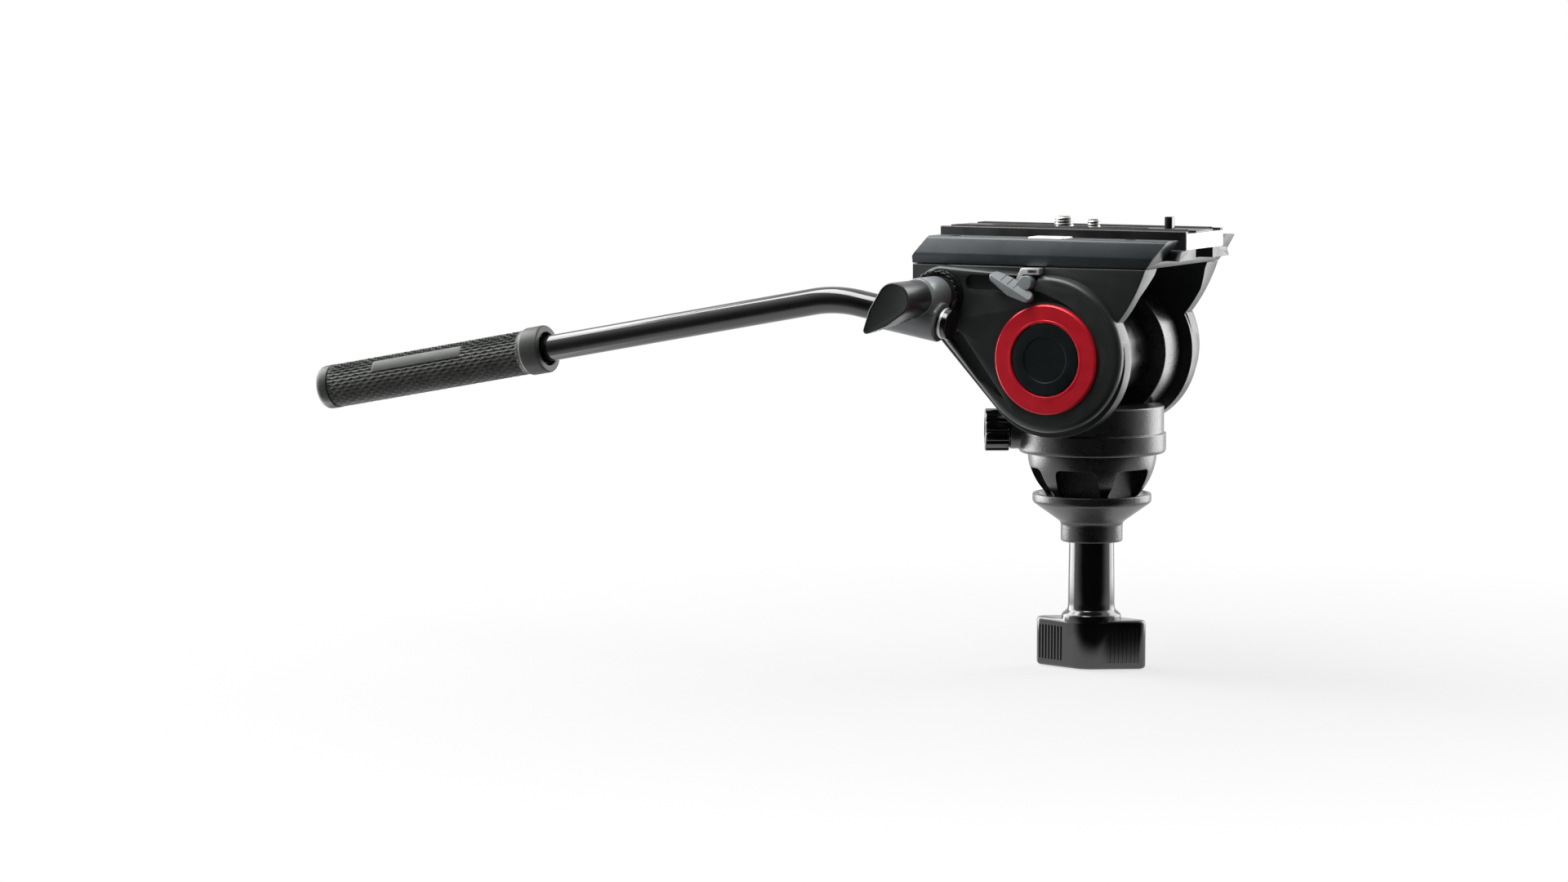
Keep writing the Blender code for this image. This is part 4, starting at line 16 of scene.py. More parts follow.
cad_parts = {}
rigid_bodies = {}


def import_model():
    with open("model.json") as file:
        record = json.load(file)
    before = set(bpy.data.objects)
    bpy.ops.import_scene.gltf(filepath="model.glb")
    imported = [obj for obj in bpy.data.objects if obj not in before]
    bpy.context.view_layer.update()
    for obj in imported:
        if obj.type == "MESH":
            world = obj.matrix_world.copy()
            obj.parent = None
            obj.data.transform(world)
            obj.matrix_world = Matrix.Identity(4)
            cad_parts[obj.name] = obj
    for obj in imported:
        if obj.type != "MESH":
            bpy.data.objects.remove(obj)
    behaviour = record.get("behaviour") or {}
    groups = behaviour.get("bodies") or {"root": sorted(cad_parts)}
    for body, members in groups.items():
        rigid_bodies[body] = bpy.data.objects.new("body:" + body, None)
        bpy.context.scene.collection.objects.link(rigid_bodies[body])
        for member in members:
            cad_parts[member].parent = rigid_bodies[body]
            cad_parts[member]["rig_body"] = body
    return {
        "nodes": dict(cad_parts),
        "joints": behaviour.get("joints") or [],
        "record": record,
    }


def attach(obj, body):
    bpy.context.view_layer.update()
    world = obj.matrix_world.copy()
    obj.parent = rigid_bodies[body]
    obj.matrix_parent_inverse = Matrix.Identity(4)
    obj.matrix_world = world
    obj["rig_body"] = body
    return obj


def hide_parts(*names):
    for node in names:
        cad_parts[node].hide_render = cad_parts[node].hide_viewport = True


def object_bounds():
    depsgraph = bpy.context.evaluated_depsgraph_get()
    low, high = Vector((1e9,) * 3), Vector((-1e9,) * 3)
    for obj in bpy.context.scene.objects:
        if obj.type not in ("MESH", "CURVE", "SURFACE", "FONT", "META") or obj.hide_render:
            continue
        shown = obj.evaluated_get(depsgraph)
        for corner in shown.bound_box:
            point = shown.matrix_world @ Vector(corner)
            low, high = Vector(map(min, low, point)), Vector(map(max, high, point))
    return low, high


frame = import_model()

bl_info = {
    "name": "Fluid video head",
    "version": (1, 1, 0),
    "blender": (4, 5, 0),
    "location": "3D View > Sidebar > Video head",
    "description": "Finer shapes, finishes and a studio for the packed video head",
    "category": "Object",
}

CAD_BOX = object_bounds()
JOINTS = {joint["name"]: joint for joint in frame["joints"]}
SLOTS = {part["node"]: part["material_slot"] for part in frame["record"]["subparts"]}

# Axes of the moving groups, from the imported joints
TILT_AT = Vector(JOINTS["tilt_turn"]["pos_m"])
ROSETTE_AT = Vector(JOINTS["pan_bar_turn"]["pos_m"])
LEVER_AT = Vector(JOINTS["plate_lock_turn"]["pos_m"])
NEAR = -1
FAR = 1

# Working values
WELD = 0.000001
FLAT = math.radians(0.2)
QUARTER = math.pi / 2
GAP = 0.0003
OVER = 0.003

# Side housings: distances out from the middle plane, and heights
CHEEK_INNER = 0.0360
CHEEK_TOP_INNER = 0.0300
CHEEK_OUTER = 0.0435
RAISED_FACE = 0.0485
CHEEK_RADIUS = 0.0365
CHEEK_TOP = 0.0881

# The tilt lock's hole in the far housing: its angle and distance from the tilt axis
TILT_LOCK_ANGLE = math.radians(140)
TILT_LOCK_REACH = 0.0279

# The rosettes on the side housings: how many teeth they and the holder's ring have, and how
# far out their faces are
TEETH = 24
ROSETTE_FACE = 0.0501

# Pan bar: the foot is where it crosses the holder, the corner where its two straights meet
BAR_Y = -0.0645
BAR_RADIUS = 0.0062
BAR_FRONT_ANGLE = math.radians(10.3)
BAR_REAR_ANGLE = math.radians(10.6)
BAR_FOOT = Vector((-0.0554, BAR_Y, 0.0643))
BAR_FORWARD = Vector((math.cos(BAR_FRONT_ANGLE), 0, -math.sin(BAR_FRONT_ANGLE)))
BAR_CORNER = BAR_FOOT + Vector((-0.0457, 0, 0.0457 * math.tan(BAR_FRONT_ANGLE)))
BAR_REARWARD = Vector((-math.cos(BAR_REAR_ANGLE), 0, -math.sin(BAR_REAR_ANGLE)))

# Grip: its ends along the bar's rear straight from the corner, its radius over the scales, and
# how deep the end cap reaches into it
GRIP_START = 0.1563
GRIP_END = 0.1563 + 0.1276 - 0.0070
GRIP_RADIUS = 0.0106
CAP_DEPTH = 0.0060

# Camera plate: its ends, its heights, and the places of its strips and its guide pin
PLATE_REAR = -0.0682
PLATE_FRONT = 0.0558
PLATE_TOP = 0.1048
PLATE_BOTTOM = 0.0916
PLATE_CHANNEL = 0.0981
STRIP_Y = 0.0145
PIN_X = 0.0382

# Receiver: its outermost ends, its heights, its screws, and how far in the flanks of its
# channel lean for each metre up
RECEIVER_REAR = -0.0724
RECEIVER_FRONT = 0.0542
RECEIVER_BOTTOM = 0.0884
RECEIVER_TOP = 0.1011
SCREW_ENDS = (-0.0540, 0.0340)
SCREW_ROW = 0.0345
FLANK_LEAN = 0.7018

# Lever of the plate lock: how far out its paddle starts and ends
PADDLE_LOW = 0.0491
PADDLE_HIGH = 0.0543

# Pan lock: its angle round the pan axis and its height
PAN_LOCK_ANGLE = math.radians(207.3)
PAN_LOCK_HEIGHT = 0.0104

# Half ball: its radius and the height of its centre
BALL_RADIUS = 0.0300
BALL_CENTRE = 0.0010

# Tie-down knob: its middle, where its wings end, and its turn
WING_HUB = 0.0134
WING_REACH = 0.0221
WING_TIP = 0.0042
WING_TURN = math.radians(7)

# Finishes: the part of the broad noise that is used, the strength of the grain, and the coat
NOISE_ENDS = {"From Min": 0.3, "From Max": 0.7}
BUMP_STRENGTH = 0.9
COAT_ROUGHNESS = 0.08

# Lamps: the name, the setting that holds the power, the size and the place of each
LAMPS = (
    ("top_lamp", "top", (1.7, 0.6), (-0.45, -0.40, 1.30)),
    ("left_lamp", "left", (1.1, 1.4), (-1.35, 0.06, 0.50)),
    ("right_lamp", "right", (1.1, 1.4), (0.72, 1.14, 0.50)),
)
LAMP_AIM = Vector((0, 0, 0.03))

# The way out from the head in which its gloss mirrors no glow
NEAR_AND_FRONT = Vector((0.458, -0.889, 0))


def colour(name, default, description):
    """A property for the base colour of a finish."""
    return FloatVectorProperty(name=name, description=description, subtype="COLOR", size=3,
                               min=0, max=1, default=default)


def length(name, default, description):
    """A property for a length in metres."""
    return FloatProperty(name=name, description=description, subtype="DISTANCE", unit="LENGTH",
                         min=0, default=default)


class HeadColours(bpy.types.PropertyGroup):
    """Base colours of the finishes."""
    cast_paint: colour("Cast paint", (0.012, 0.013, 0.013), "Textured enamel on the castings")
    side_moulding: colour("Side housings", (0.024, 0.028, 0.027), "Moulded side housings")
    receiver_paint: colour("Receiver", (0.027, 0.035, 0.039), "Fine powder coat on the receiver")
    black_plastic: colour("Black plastic", (0.005, 0.005, 0.005), "Knobs and plugs")
    grey_plastic: colour("Grey plastic", (0.290, 0.308, 0.318), "Levers, holder and wing knob")
    cap_plastic: colour("Caps", (0.004, 0.008, 0.008), "Caps in the drag rings")
    red_anodised: colour("Red ring", (0.76, 0.012, 0.030), "Anodised drag ring")
    steel: colour("Steel", (0.58, 0.58, 0.57), "Screws, studs and the axle")
    brass: colour("Brass", (0.60, 0.43, 0.18), "Threaded insert and brake pieces")
    aluminium: colour("Aluminium", (0.62, 0.62, 0.61), "Clamp jaw, catch and cut plate ends")
    black_anodised: colour("Black anodised", (0.013, 0.013, 0.014), "Camera plate and rosettes")
    gloss_tube: colour("Tube", (0.003, 0.003, 0.003), "Gloss coat on the pan bar")
    grip_rubber: colour("Grip", (0.027, 0.031, 0.026), "Rubber of the pan bar grip")
    plate_rubber: colour("Plate strips", (0.011, 0.011, 0.011), "Rubber strips on the plate")
    level_glass: colour("Level", (0.42, 0.62, 0.10), "Liquid in the bubble level")


class HeadSizes(bpy.types.PropertyGroup):
    """Sizes of the finer shapes."""
    steps: IntProperty(name="Turning steps", description="Sides of a turned piece", min=24, default=96)
    edge: length("Edge round", 0.0003, "Round on the edges of a machined or moulded piece")
    shoulder: length("Shoulder round", 0.0034, "Round on the rim of a side housing's raised body")
    relief: length("Grip relief", 0.0008, "Height of the scales on the grip")
    scale_run: length("Scale length", 0.0053, "Length of a scale along the grip")
    thread: length("Thread pitch", 0.0013, "Pitch of the camera screws' threads")


class StudioSettings(bpy.types.PropertyGroup):
    """The camera and the lamps."""
    azimuth: FloatProperty(name="Azimuth", description="Turn of the camera round the head",
                           subtype="ANGLE", unit="ROTATION", default=math.radians(27.3))
    elevation: FloatProperty(name="Elevation", description="Height of the camera above the level",
                             subtype="ANGLE", unit="ROTATION", default=math.radians(5.3))
    lens: FloatProperty(name="Focal length", description="Focal length of the camera in millimetres",
                        unit="CAMERA", min=1, default=112.5)
    place: FloatVectorProperty(name="Camera place", description="Where the camera stands", size=3,
                               subtype="TRANSLATION", unit="LENGTH", default=(0.9142, -2.0840, 0.2158))
    top: FloatProperty(name="Top lamp", description="Power of the lamp overhead", unit="POWER", min=0,
                       default=25)
    left: FloatProperty(name="Left lamp", description="Power of the wide lamp beyond the grip",
                        unit="POWER", min=0, default=30)
    right: FloatProperty(name="Right lamp", unit="POWER", min=0, default=20,
                         description="Power of the wide lamp ahead of the head, on its far side")
    fill: FloatProperty(name="Fill", description="Share of white that the surround lights with",
                        subtype="FACTOR", min=0, max=1, default=0.16)


# Materials

def new_node(tree, kind, inputs=(), **values):
    """Adds a shader node, with each input set to a value or linked from a socket."""
    made = tree.nodes.new("ShaderNode" + kind)
    for name, value in values.items():
        setattr(made, name, value)
    for name, value in dict(inputs).items():
        if isinstance(value, bpy.types.NodeSocket):
            tree.links.new(value, made.inputs[name])
        else:
            made.inputs[name].default_value = value
    return made


def blended(tree, share, low, high):
    """The mix of two colours, each a socket or a colour, by a share."""
    made = new_node(tree, "Mix", {0: share, 6: low, 7: high}, data_type="RGBA")
    return made.outputs[2]


def finish(slot, roughness, metallic=0.0, grain=3000.0, depth=0.00003, mottle=120.0, spread=0.15,
           rough_spread=0.08, stretch=(1, 1, 1), coat=0.0, flecks=0.0, gloss=0.5, rings=0.0):
    """The material of a slot: a tone that varies over the surface, uneven gloss and a fine grain.

    grain and mottle are features to the metre, depth is the height of the grain in metres, and
    spread and rough_spread are how far the tone and the roughness move to each side. stretch
    scales the grain along each axis for a brushed surface, flecks adds lighter specks, and
    rings adds turning marks about the tilt axis of that height. gloss is the specular level,
    and coat the weight of a clear coat. The material's name differs from the slot's, because
    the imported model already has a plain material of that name.
    """
    name = "fine_" + slot
    material = bpy.data.materials.get(name)
    if material:
        return material
    tone = Vector(getattr(bpy.context.scene.head_colours, slot))
    material = bpy.data.materials.new(name)
    material.use_nodes = True
    tree = material.node_tree
    shader = tree.nodes["Principled BSDF"]
    place = new_node(tree, "TexCoord").outputs["Object"]
    brushed = new_node(tree, "Mapping", {"Vector": place, "Scale": stretch}).outputs["Vector"]
    broad = new_node(tree, "TexNoise", {"Vector": place, "Scale": mottle, "Detail": 3.0})
    fine = new_node(tree, "TexNoise", {"Vector": brushed, "Scale": grain, "Detail": 4.0, "Roughness": 0.65})
    worn = new_node(tree, "MapRange", {"Value": broad.outputs["Fac"], **NOISE_ENDS})
    paint = blended(tree, worn.outputs["Result"], (*(tone * (1 - spread)), 1), (*(tone * (1 + spread)), 1))
    if flecks:
        spots = new_node(tree, "TexNoise", {"Vector": place, "Scale": grain * 0.8, "Detail": 1.0})
        share = new_node(tree, "MapRange", {"Value": spots.outputs["Fac"], "From Min": 0.58,
                                            "From Max": 0.72})
        paint = blended(tree, share.outputs["Result"], paint, (*(tone * (1 + flecks)), 1))
    tree.links.new(paint, shader.inputs["Base Color"])
    uneven = new_node(tree, "MapRange", {
        "Value": broad.outputs["Fac"], **NOISE_ENDS,
        "To Min": roughness - rough_spread, "To Max": roughness + rough_spread,
    })
    tree.links.new(uneven.outputs["Result"], shader.inputs["Roughness"])
    bump = new_node(tree, "Bump", {"Height": fine.outputs["Fac"], "Distance": depth,
                                 "Strength": BUMP_STRENGTH})
    if rings:
        centred = new_node(tree, "Mapping", {"Vector": place, "Location": -TILT_AT})
        turned = new_node(tree, "TexWave", {"Vector": centred.outputs["Vector"], "Scale": 600.0,
                                            "Distortion": 0.3}, wave_type="RINGS", rings_direction="Y")
        bump = new_node(tree, "Bump", {"Height": turned.outputs["Fac"], "Distance": rings,
                                       "Strength": BUMP_STRENGTH, "Normal": bump.outputs["Normal"]})
    tree.links.new(bump.outputs["Normal"], shader.inputs["Normal"])
    shader.inputs["Metallic"].default_value = metallic
    shader.inputs["Specular IOR Level"].default_value = gloss
    shader.inputs["Coat Weight"].default_value = coat
    shader.inputs["Coat Roughness"].default_value = COAT_ROUGHNESS
    return material


FINISHES = {
    "cast_paint": dict(roughness=0.28, rough_spread=0.03, grain=900, depth=0.00012, spread=0.25,
                       flecks=1.2, gloss=1.0),
    "side_moulding": dict(roughness=0.32, rough_spread=0.03, grain=3500, depth=0.000003, spread=0.06),
    "receiver_paint": dict(roughness=0.34, rough_spread=0.03, grain=2600, depth=0.00003, spread=0.08,
                           flecks=0.5),
    "black_plastic": dict(roughness=0.15, rough_spread=0.03, grain=2600, depth=0.000003, spread=0.2,
                          gloss=1.0),
    "grey_plastic": dict(roughness=0.30, rough_spread=0.03, grain=3200, depth=0.000002, spread=0.05,
                         gloss=0.9),
    "cap_plastic": dict(roughness=0.46, grain=4200, depth=0.000006, spread=0.10, gloss=0.15),
    "red_anodised": dict(roughness=0.34, metallic=0.3, grain=2400, depth=0.000002, spread=0.06,
                         rough_spread=0.04, rings=0.000003),
    "steel": dict(roughness=0.30, metallic=1.0, grain=1500, depth=0.000003, spread=0.12,
                  stretch=(1, 1, 0.05)),
    "brass": dict(roughness=0.32, metallic=1.0, grain=1500, depth=0.000003, spread=0.12),
    "aluminium": dict(roughness=0.52, metallic=1.0, grain=2500, depth=0.000003, spread=0.06,
                      stretch=(0.04, 1, 1)),
    "black_anodised": dict(roughness=0.32, grain=3000, depth=0.000003, spread=0.15, gloss=0.6,
                           stretch=(0.04, 1, 1)),
    "gloss_tube": dict(roughness=0.10, grain=900, depth=0.0000005, spread=0.2, rough_spread=0.02, gloss=1.0),
    "grip_rubber": dict(roughness=0.44, rough_spread=0.04, grain=5000, depth=0.000002, spread=0.12,
                        gloss=0.4),
    "plate_rubber": dict(roughness=0.75, grain=3500, depth=0.00003, spread=0.2, gloss=0.3),
    "level_glass": dict(roughness=0.12, grain=300, depth=0.000001, spread=0.05, rough_spread=0.02, coat=1.0),
}


# Outlines, each a list of (across, along) points

def around(centre, radius, angle):
    """The point of a circle at an angle."""
    return (centre[0] + radius * math.cos(angle), centre[1] + radius * math.sin(angle))


def arc(centre, radius, start, end, step=math.radians(4)):
    """Points along an arc, both ends included."""
    count = max(2, math.ceil(abs(end - start) / step))
    return [around(centre, radius, start + (end - start) * i / count) for i in range(count + 1)]


def belt(centre_a, radius_a, centre_b, radius_b):
    """The outline of a belt that runs round two circles."""
    across = Vector(centre_b) - Vector(centre_a)
    heading = math.atan2(across.y, across.x)
    lean = math.acos((radius_a - radius_b) / across.length)
    return (arc(centre_a, radius_a, heading + lean, heading + math.tau - lean)
            + arc(centre_b, radius_b, heading - lean, heading + lean))


def curved(start, bend, end, parts=8):
    """Points along a curve from start to end that leans towards bend, both ends included."""
    points = []
    for i in range(parts + 1):
        t = i / parts
        points.append(tuple((1 - t) ** 2 * a + 2 * t * (1 - t) * b + t * t * c
                            for a, b, c in zip(start, bend, end)))
    return points


def filleted(points):
    """Rounds each corner that has a third number, which is how far back its curve starts."""
    made = []
    for i, (x, y, *back) in enumerate(points):
        if not back:
            made.append((x, y))
            continue
        corner = Vector((x, y))
        ends = []
        for other in (points[i - 1], points[(i + 1) % len(points)]):
            toward = Vector(other[:2]) - corner
            ends.append(corner + toward.normalized() * min(back[0], toward.length * 0.48))
        made += curved(ends[0], corner, ends[1], 4)
    return made


def rectangle(low, high, back):
    """An upright rectangle between two corners, its corners rounded."""
    return filleted([(low[0], low[1], back), (high[0], low[1], back), (high[0], high[1], back),
                     (low[0], high[1], back)])


def mirrored(half):
    """A section of (distance out, height) points with the same points on the other side."""
    return half + [(-x, *rest) for x, *rest in reversed(half)]


# Places

def on_side(side, at):
    """Turns a drawing of (x, z, distance out) about an axis across the head into its place."""
    return Matrix(((1, 0, 0, at[0]), (0, 0, side, 0), (0, 1, 0, at[2]), (0, 0, 0, 1)))


def lengthwise(side=FAR):
    """Turns a section of (distance out, z) with its length forward into its place."""
    return Matrix(((0, 0, 1, 0), (side, 0, 0, 0), (0, 1, 0, 0), (0, 0, 0, 1)))


def aimed(axis, at=(0, 0, 0), up=(0, 0, 1)):
    """Turns local z along an axis and local x as far up as it can go."""
    z = Vector(axis).normalized()
    x = (Vector(up) - Vector(up).dot(z) * z).normalized()
    turn = Matrix((x, z.cross(x), z)).transposed().to_4x4()
    return Matrix.Translation(at) @ turn


def outward(angle, height):
    """Local z points out from the pan axis at an angle and a height."""
    return aimed((math.cos(angle), math.sin(angle), 0), (0, 0, height))


# Mesh tools

def steps():
    """How many sides a turned piece has."""
    return bpy.context.scene.head_sizes.steps


def settled(bm, place):
    """Moves a shape to its place, and turns its faces back where the place mirrors it."""
    if place:
        bm.transform(place)
        if place.determinant() < 0:
            bmesh.ops.reverse_faces(bm, faces=bm.faces)
        bm.normal_update()
    return bm


def prism(outline, low, high, place=None, edge=0.0, foot=0.0):
    """An outline given a thickness, with its upper and lower rims rounded where asked."""
    bm = bmesh.new()
    face = bm.faces.new([bm.verts.new((x, y, low)) for x, y in outline])
    made = bmesh.ops.extrude_face_region(bm, geom=[face])["geom"]
    top = [item for item in made if isinstance(item, bmesh.types.BMVert)]
    bmesh.ops.translate(bm, verts=top, vec=(0, 0, high - low))
    bmesh.ops.recalc_face_normals(bm, faces=bm.faces)
    for level, width in ((high, edge), (low, foot)):
        if width:
            rim = [item for item in bm.edges if all(abs(v.co.z - level) < WELD for v in item.verts)]
            bevelled(bm, rim, width, 3)
    return settled(bm, place)


def bevelled(bm, edges, width, segments):
    """Rounds the given edges of a bmesh."""
    bmesh.ops.bevel(bm, geom=edges, offset=width, offset_type="OFFSET", segments=segments, profile=0.5,
                    affect="EDGES", clamp_overlap=True, material=-1)


def spun(outline, place=None, sides=None, closed=False):
    """A turned solid from (radius, height) points, which close on themselves or on the axis."""
    bm = bmesh.new()
    verts = [bm.verts.new((radius, 0, height)) for radius, height in outline]
    pairs = list(zip(verts, verts[1:] + verts[:1])) if closed else list(zip(verts, verts[1:]))
    edges = [bm.edges.new(pair) for pair in pairs]
    bmesh.ops.spin(bm, geom=verts + edges, cent=(0, 0, 0), axis=(0, 0, 1), dvec=(0, 0, 0),
                   angle=math.tau, steps=sides or steps(), use_merge=True, use_duplicate=False)
    bmesh.ops.remove_doubles(bm, verts=bm.verts, dist=WELD)
    bmesh.ops.recalc_face_normals(bm, faces=bm.faces)
    return settled(bm, place)


def bar(radius, low, high, place=None, edge=0.0, foot=0.0, sides=None):
    """A round bar between two heights, with its ends rounded where asked."""
    ends = [(0, high), (radius, high, edge) if edge else (radius, high),
            (radius, low, foot) if foot else (radius, low), (0, low)]
    return spun(filleted(ends), place, sides)


def tube(inner, outer, low, high, place=None, edge=0.0):
    """A round tube between two heights, the outer rim of its upper end rounded where asked."""
    return spun(filleted([(inner, low), (outer, low), (outer, high, edge) if edge else (outer, high),
                          (inner, high)]), place, closed=True)


def box(low, high, place=None, edge=0.0):
    """A block between two corners, all its edges rounded where asked."""
    bm = bmesh.new()
    bmesh.ops.create_cube(bm, size=1)
    bmesh.ops.scale(bm, verts=bm.verts, vec=Vector(high) - Vector(low))
    bmesh.ops.translate(bm, verts=bm.verts, vec=(Vector(low) + Vector(high)) / 2)
    if edge:
        bevelled(bm, bm.edges[:], edge, 2)
    return settled(bm, place)


def hoops(x, y, radius, low, high, edge=0.0, foot=0.0):
    """The circles (x, y, radius, height) of a round bar with rounded ends, for a belted solid."""
    made = []
    for level, back, way in ((low, foot, -1), (high, edge, 1)):
        for i in range(5 if back else 1):
            turn = QUARTER * i / 4
            reach = radius - back * (1 - math.cos(turn))
            made.append((x, y, reach, level - way * back * (1 - math.sin(turn))))
    return made


def belted(circles, place=None):
    """The solid that a tight skin round several flat circles encloses."""
    bm = bmesh.new()
    for x, y, radius, height in circles:
        made = bmesh.ops.create_circle(bm, segments=steps(), radius=radius)["verts"]
        bmesh.ops.translate(bm, verts=made, vec=(x, y, height))
    bmesh.ops.convex_hull(bm, input=bm.verts)
    bmesh.ops.delete(bm, geom=[e for e in bm.edges if not e.link_faces], context="EDGES")
    bmesh.ops.delete(bm, geom=[v for v in bm.verts if not v.link_faces], context="VERTS")
    bmesh.ops.dissolve_limit(bm, angle_limit=FLAT, verts=bm.verts, edges=bm.edges)
    bmesh.ops.recalc_face_normals(bm, faces=bm.faces)
    return settled(bm, place)


def gathered(*shapes):
    """Several separate shapes in one bmesh."""
    whole = bmesh.new()
    for shape in shapes:
        mesh = bpy.data.meshes.new("gathered")
        shape.to_mesh(mesh)
        shape.free()
        whole.from_mesh(mesh)
        bpy.data.meshes.remove(mesh)
    return whole


def halved(bm, at, normal):
    """Cuts away what lies beyond a plane and closes the cut."""
    bmesh.ops.bisect_plane(bm, geom=bm.verts[:] + bm.edges[:] + bm.faces[:], dist=WELD, plane_co=at,
                           plane_no=normal, clear_outer=True)
    bmesh.ops.holes_fill(bm, edges=[e for e in bm.edges if e.is_boundary])
    return bm


def tidied(bm):
    """Merges doubles and joins flat faces."""
    bmesh.ops.remove_doubles(bm, verts=bm.verts, dist=WELD)
    bmesh.ops.dissolve_degenerate(bm, edges=bm.edges, dist=WELD)
    bmesh.ops.dissolve_limit(bm, angle_limit=FLAT, verts=bm.verts, edges=bm.edges)
    return bm


def as_object(name, bm):
    """A new object from a bmesh, at the origin of the head's frame."""
    mesh = bpy.data.meshes.new(name)
    bm.to_mesh(mesh)
    bm.free()
    obj = bpy.data.objects.new(name, mesh)
    bpy.context.scene.collection.objects.link(obj)
    return obj


def combined(bm, others, operation):
    """The exact Boolean of a bmesh with others, all of which are used up."""
    target = as_object("boolean_target", bm)
    helpers = [as_object("boolean_helper", other) for other in others]
    for helper in helpers:
        modifier = target.modifiers.new("Boolean", "BOOLEAN")
        modifier.operation = operation
        modifier.solver = "EXACT"
        modifier.object = helper
    result = bmesh.new()
    result.from_object(target, bpy.context.evaluated_depsgraph_get())
    for obj in [target] + helpers:
        bpy.data.objects.remove(obj)
    return tidied(result)


def joined(bm, *others):
    """One solid from several that overlap."""
    return combined(bm, others, "UNION")


def carved(bm, *cutters):
    """A solid with the cutters taken out of it."""
    return combined(bm, cutters, "DIFFERENCE")


def softened(bm, width=None, segments=2, angle=math.radians(35), beyond=0.0):
    """Rounds every edge that is sharper than an angle and lies beyond a distance from the middle."""
    sharp = [edge for edge in bm.edges if edge.calc_face_angle(0.0) > angle
             and min(abs(vert.co.y) for vert in edge.verts) >= beyond]
    bevelled(bm, sharp, width or bpy.context.scene.head_sizes.edge, segments)
    return bm


def piece(name, bm, slot, body, angle=math.radians(32)):
    """A finished piece that rides on a body, shaded smooth with its sharper edges crisp."""
    for face in bm.faces:
        face.smooth = True
    for edge in bm.edges:
        edge.smooth = edge.calc_face_angle(0.0) < angle
    obj = as_object(name, bm)
    obj.data.materials.append(finish(slot, **FINISHES[slot]))
    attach(obj, body)
    return obj


def stand_in(node, bm, angle=math.radians(32), slot=None):
    """The piece that stands for a CAD node and rides on its body, in its slot unless one is given."""
    obj = piece("fine_" + node, bm, slot or SLOTS[node], frame["nodes"][node]["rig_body"], angle)
    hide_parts(node)
    return obj


def threaded(radius, depth, low, high, pitch):
    """A bar with a helical thread, its upper end chamfered."""
    turns = math.ceil((high - low) / pitch) + 2
    sides = 32
    profile = [(radius - depth, 0), (radius - depth, 1 / 8), (radius, 1 / 2), (radius, 5 / 8),
               (radius - depth, 1)]
    bm = bmesh.new()
    verts = [bm.verts.new((reach, 0, low + (share - 1) * pitch)) for reach, share in profile]
    edges = [bm.edges.new(pair) for pair in zip(verts, verts[1:])]
    bmesh.ops.spin(bm, geom=verts + edges, cent=(0, 0, 0), axis=(0, 0, 1), dvec=(0, 0, pitch / sides),
                   angle=math.tau * turns, steps=sides * turns, use_merge=False, use_duplicate=False)
    bmesh.ops.remove_doubles(bm, verts=bm.verts, dist=WELD)
    halved(bm, (0, 0, high), (0, 0, 1))
    halved(bm, (0, 0, low), (0, 0, -1))
    for vert in bm.verts:
        reach = vert.co.to_2d().length
        most = radius - max(0, vert.co.z - (high - depth))
        if reach > most:
            vert.co.xy *= most / reach
    bmesh.ops.recalc_face_normals(bm, faces=bm.faces)
    return bm


# Side housings

def cheek_outline():
    """The plate of a side housing from the tilt axis: a disc, its rear slope, its neck and top."""
    rear = (-0.0722 - TILT_AT.x, 0.0690 - TILT_AT.z)
    front = 0.0447 - TILT_AT.x
    top = CHEEK_TOP - TILT_AT.z
    neck = math.asin((0.0632 - TILT_AT.z) / CHEEK_RADIUS)
    start = math.atan2(rear[1], rear[0]) + math.acos(CHEEK_RADIUS / math.hypot(*rear)) - math.tau
    outline = arc((0, 0), CHEEK_RADIUS, start, neck)
    outline += curved(outline[-1], (0.0395 - TILT_AT.x, 0.0735 - TILT_AT.z), (front, top))[1:]
    return outline + [(rear[0], top), rear]


def pocket_outline():
    """The lever's pocket from the tilt axis: it runs in between the drag ring and a crescent."""
    def point(x, z, *back):
        """A point of the head's frame, seen from the tilt axis."""
        return (x - TILT_AT.x, z - TILT_AT.z, *back)

    land = 0.0261
    land_end = math.radians(54)
    heel = point(-0.0084, 0.0778)
    bend = point(0.0035, 0.0754)
    start = [point(-0.0056, 0.0842), point(-0.0425, 0.0842, 0.004), point(-0.0425, 0.0772, 0.003),
             point(-0.0279, 0.0772, 0.003), point(-0.0169, 0.0733)]
    outline = filleted(start)
    outline += arc((0, 0), land, math.radians(106), land_end)
    return outline + curved(around((0, 0), land, land_end), bend, heel)[1:]


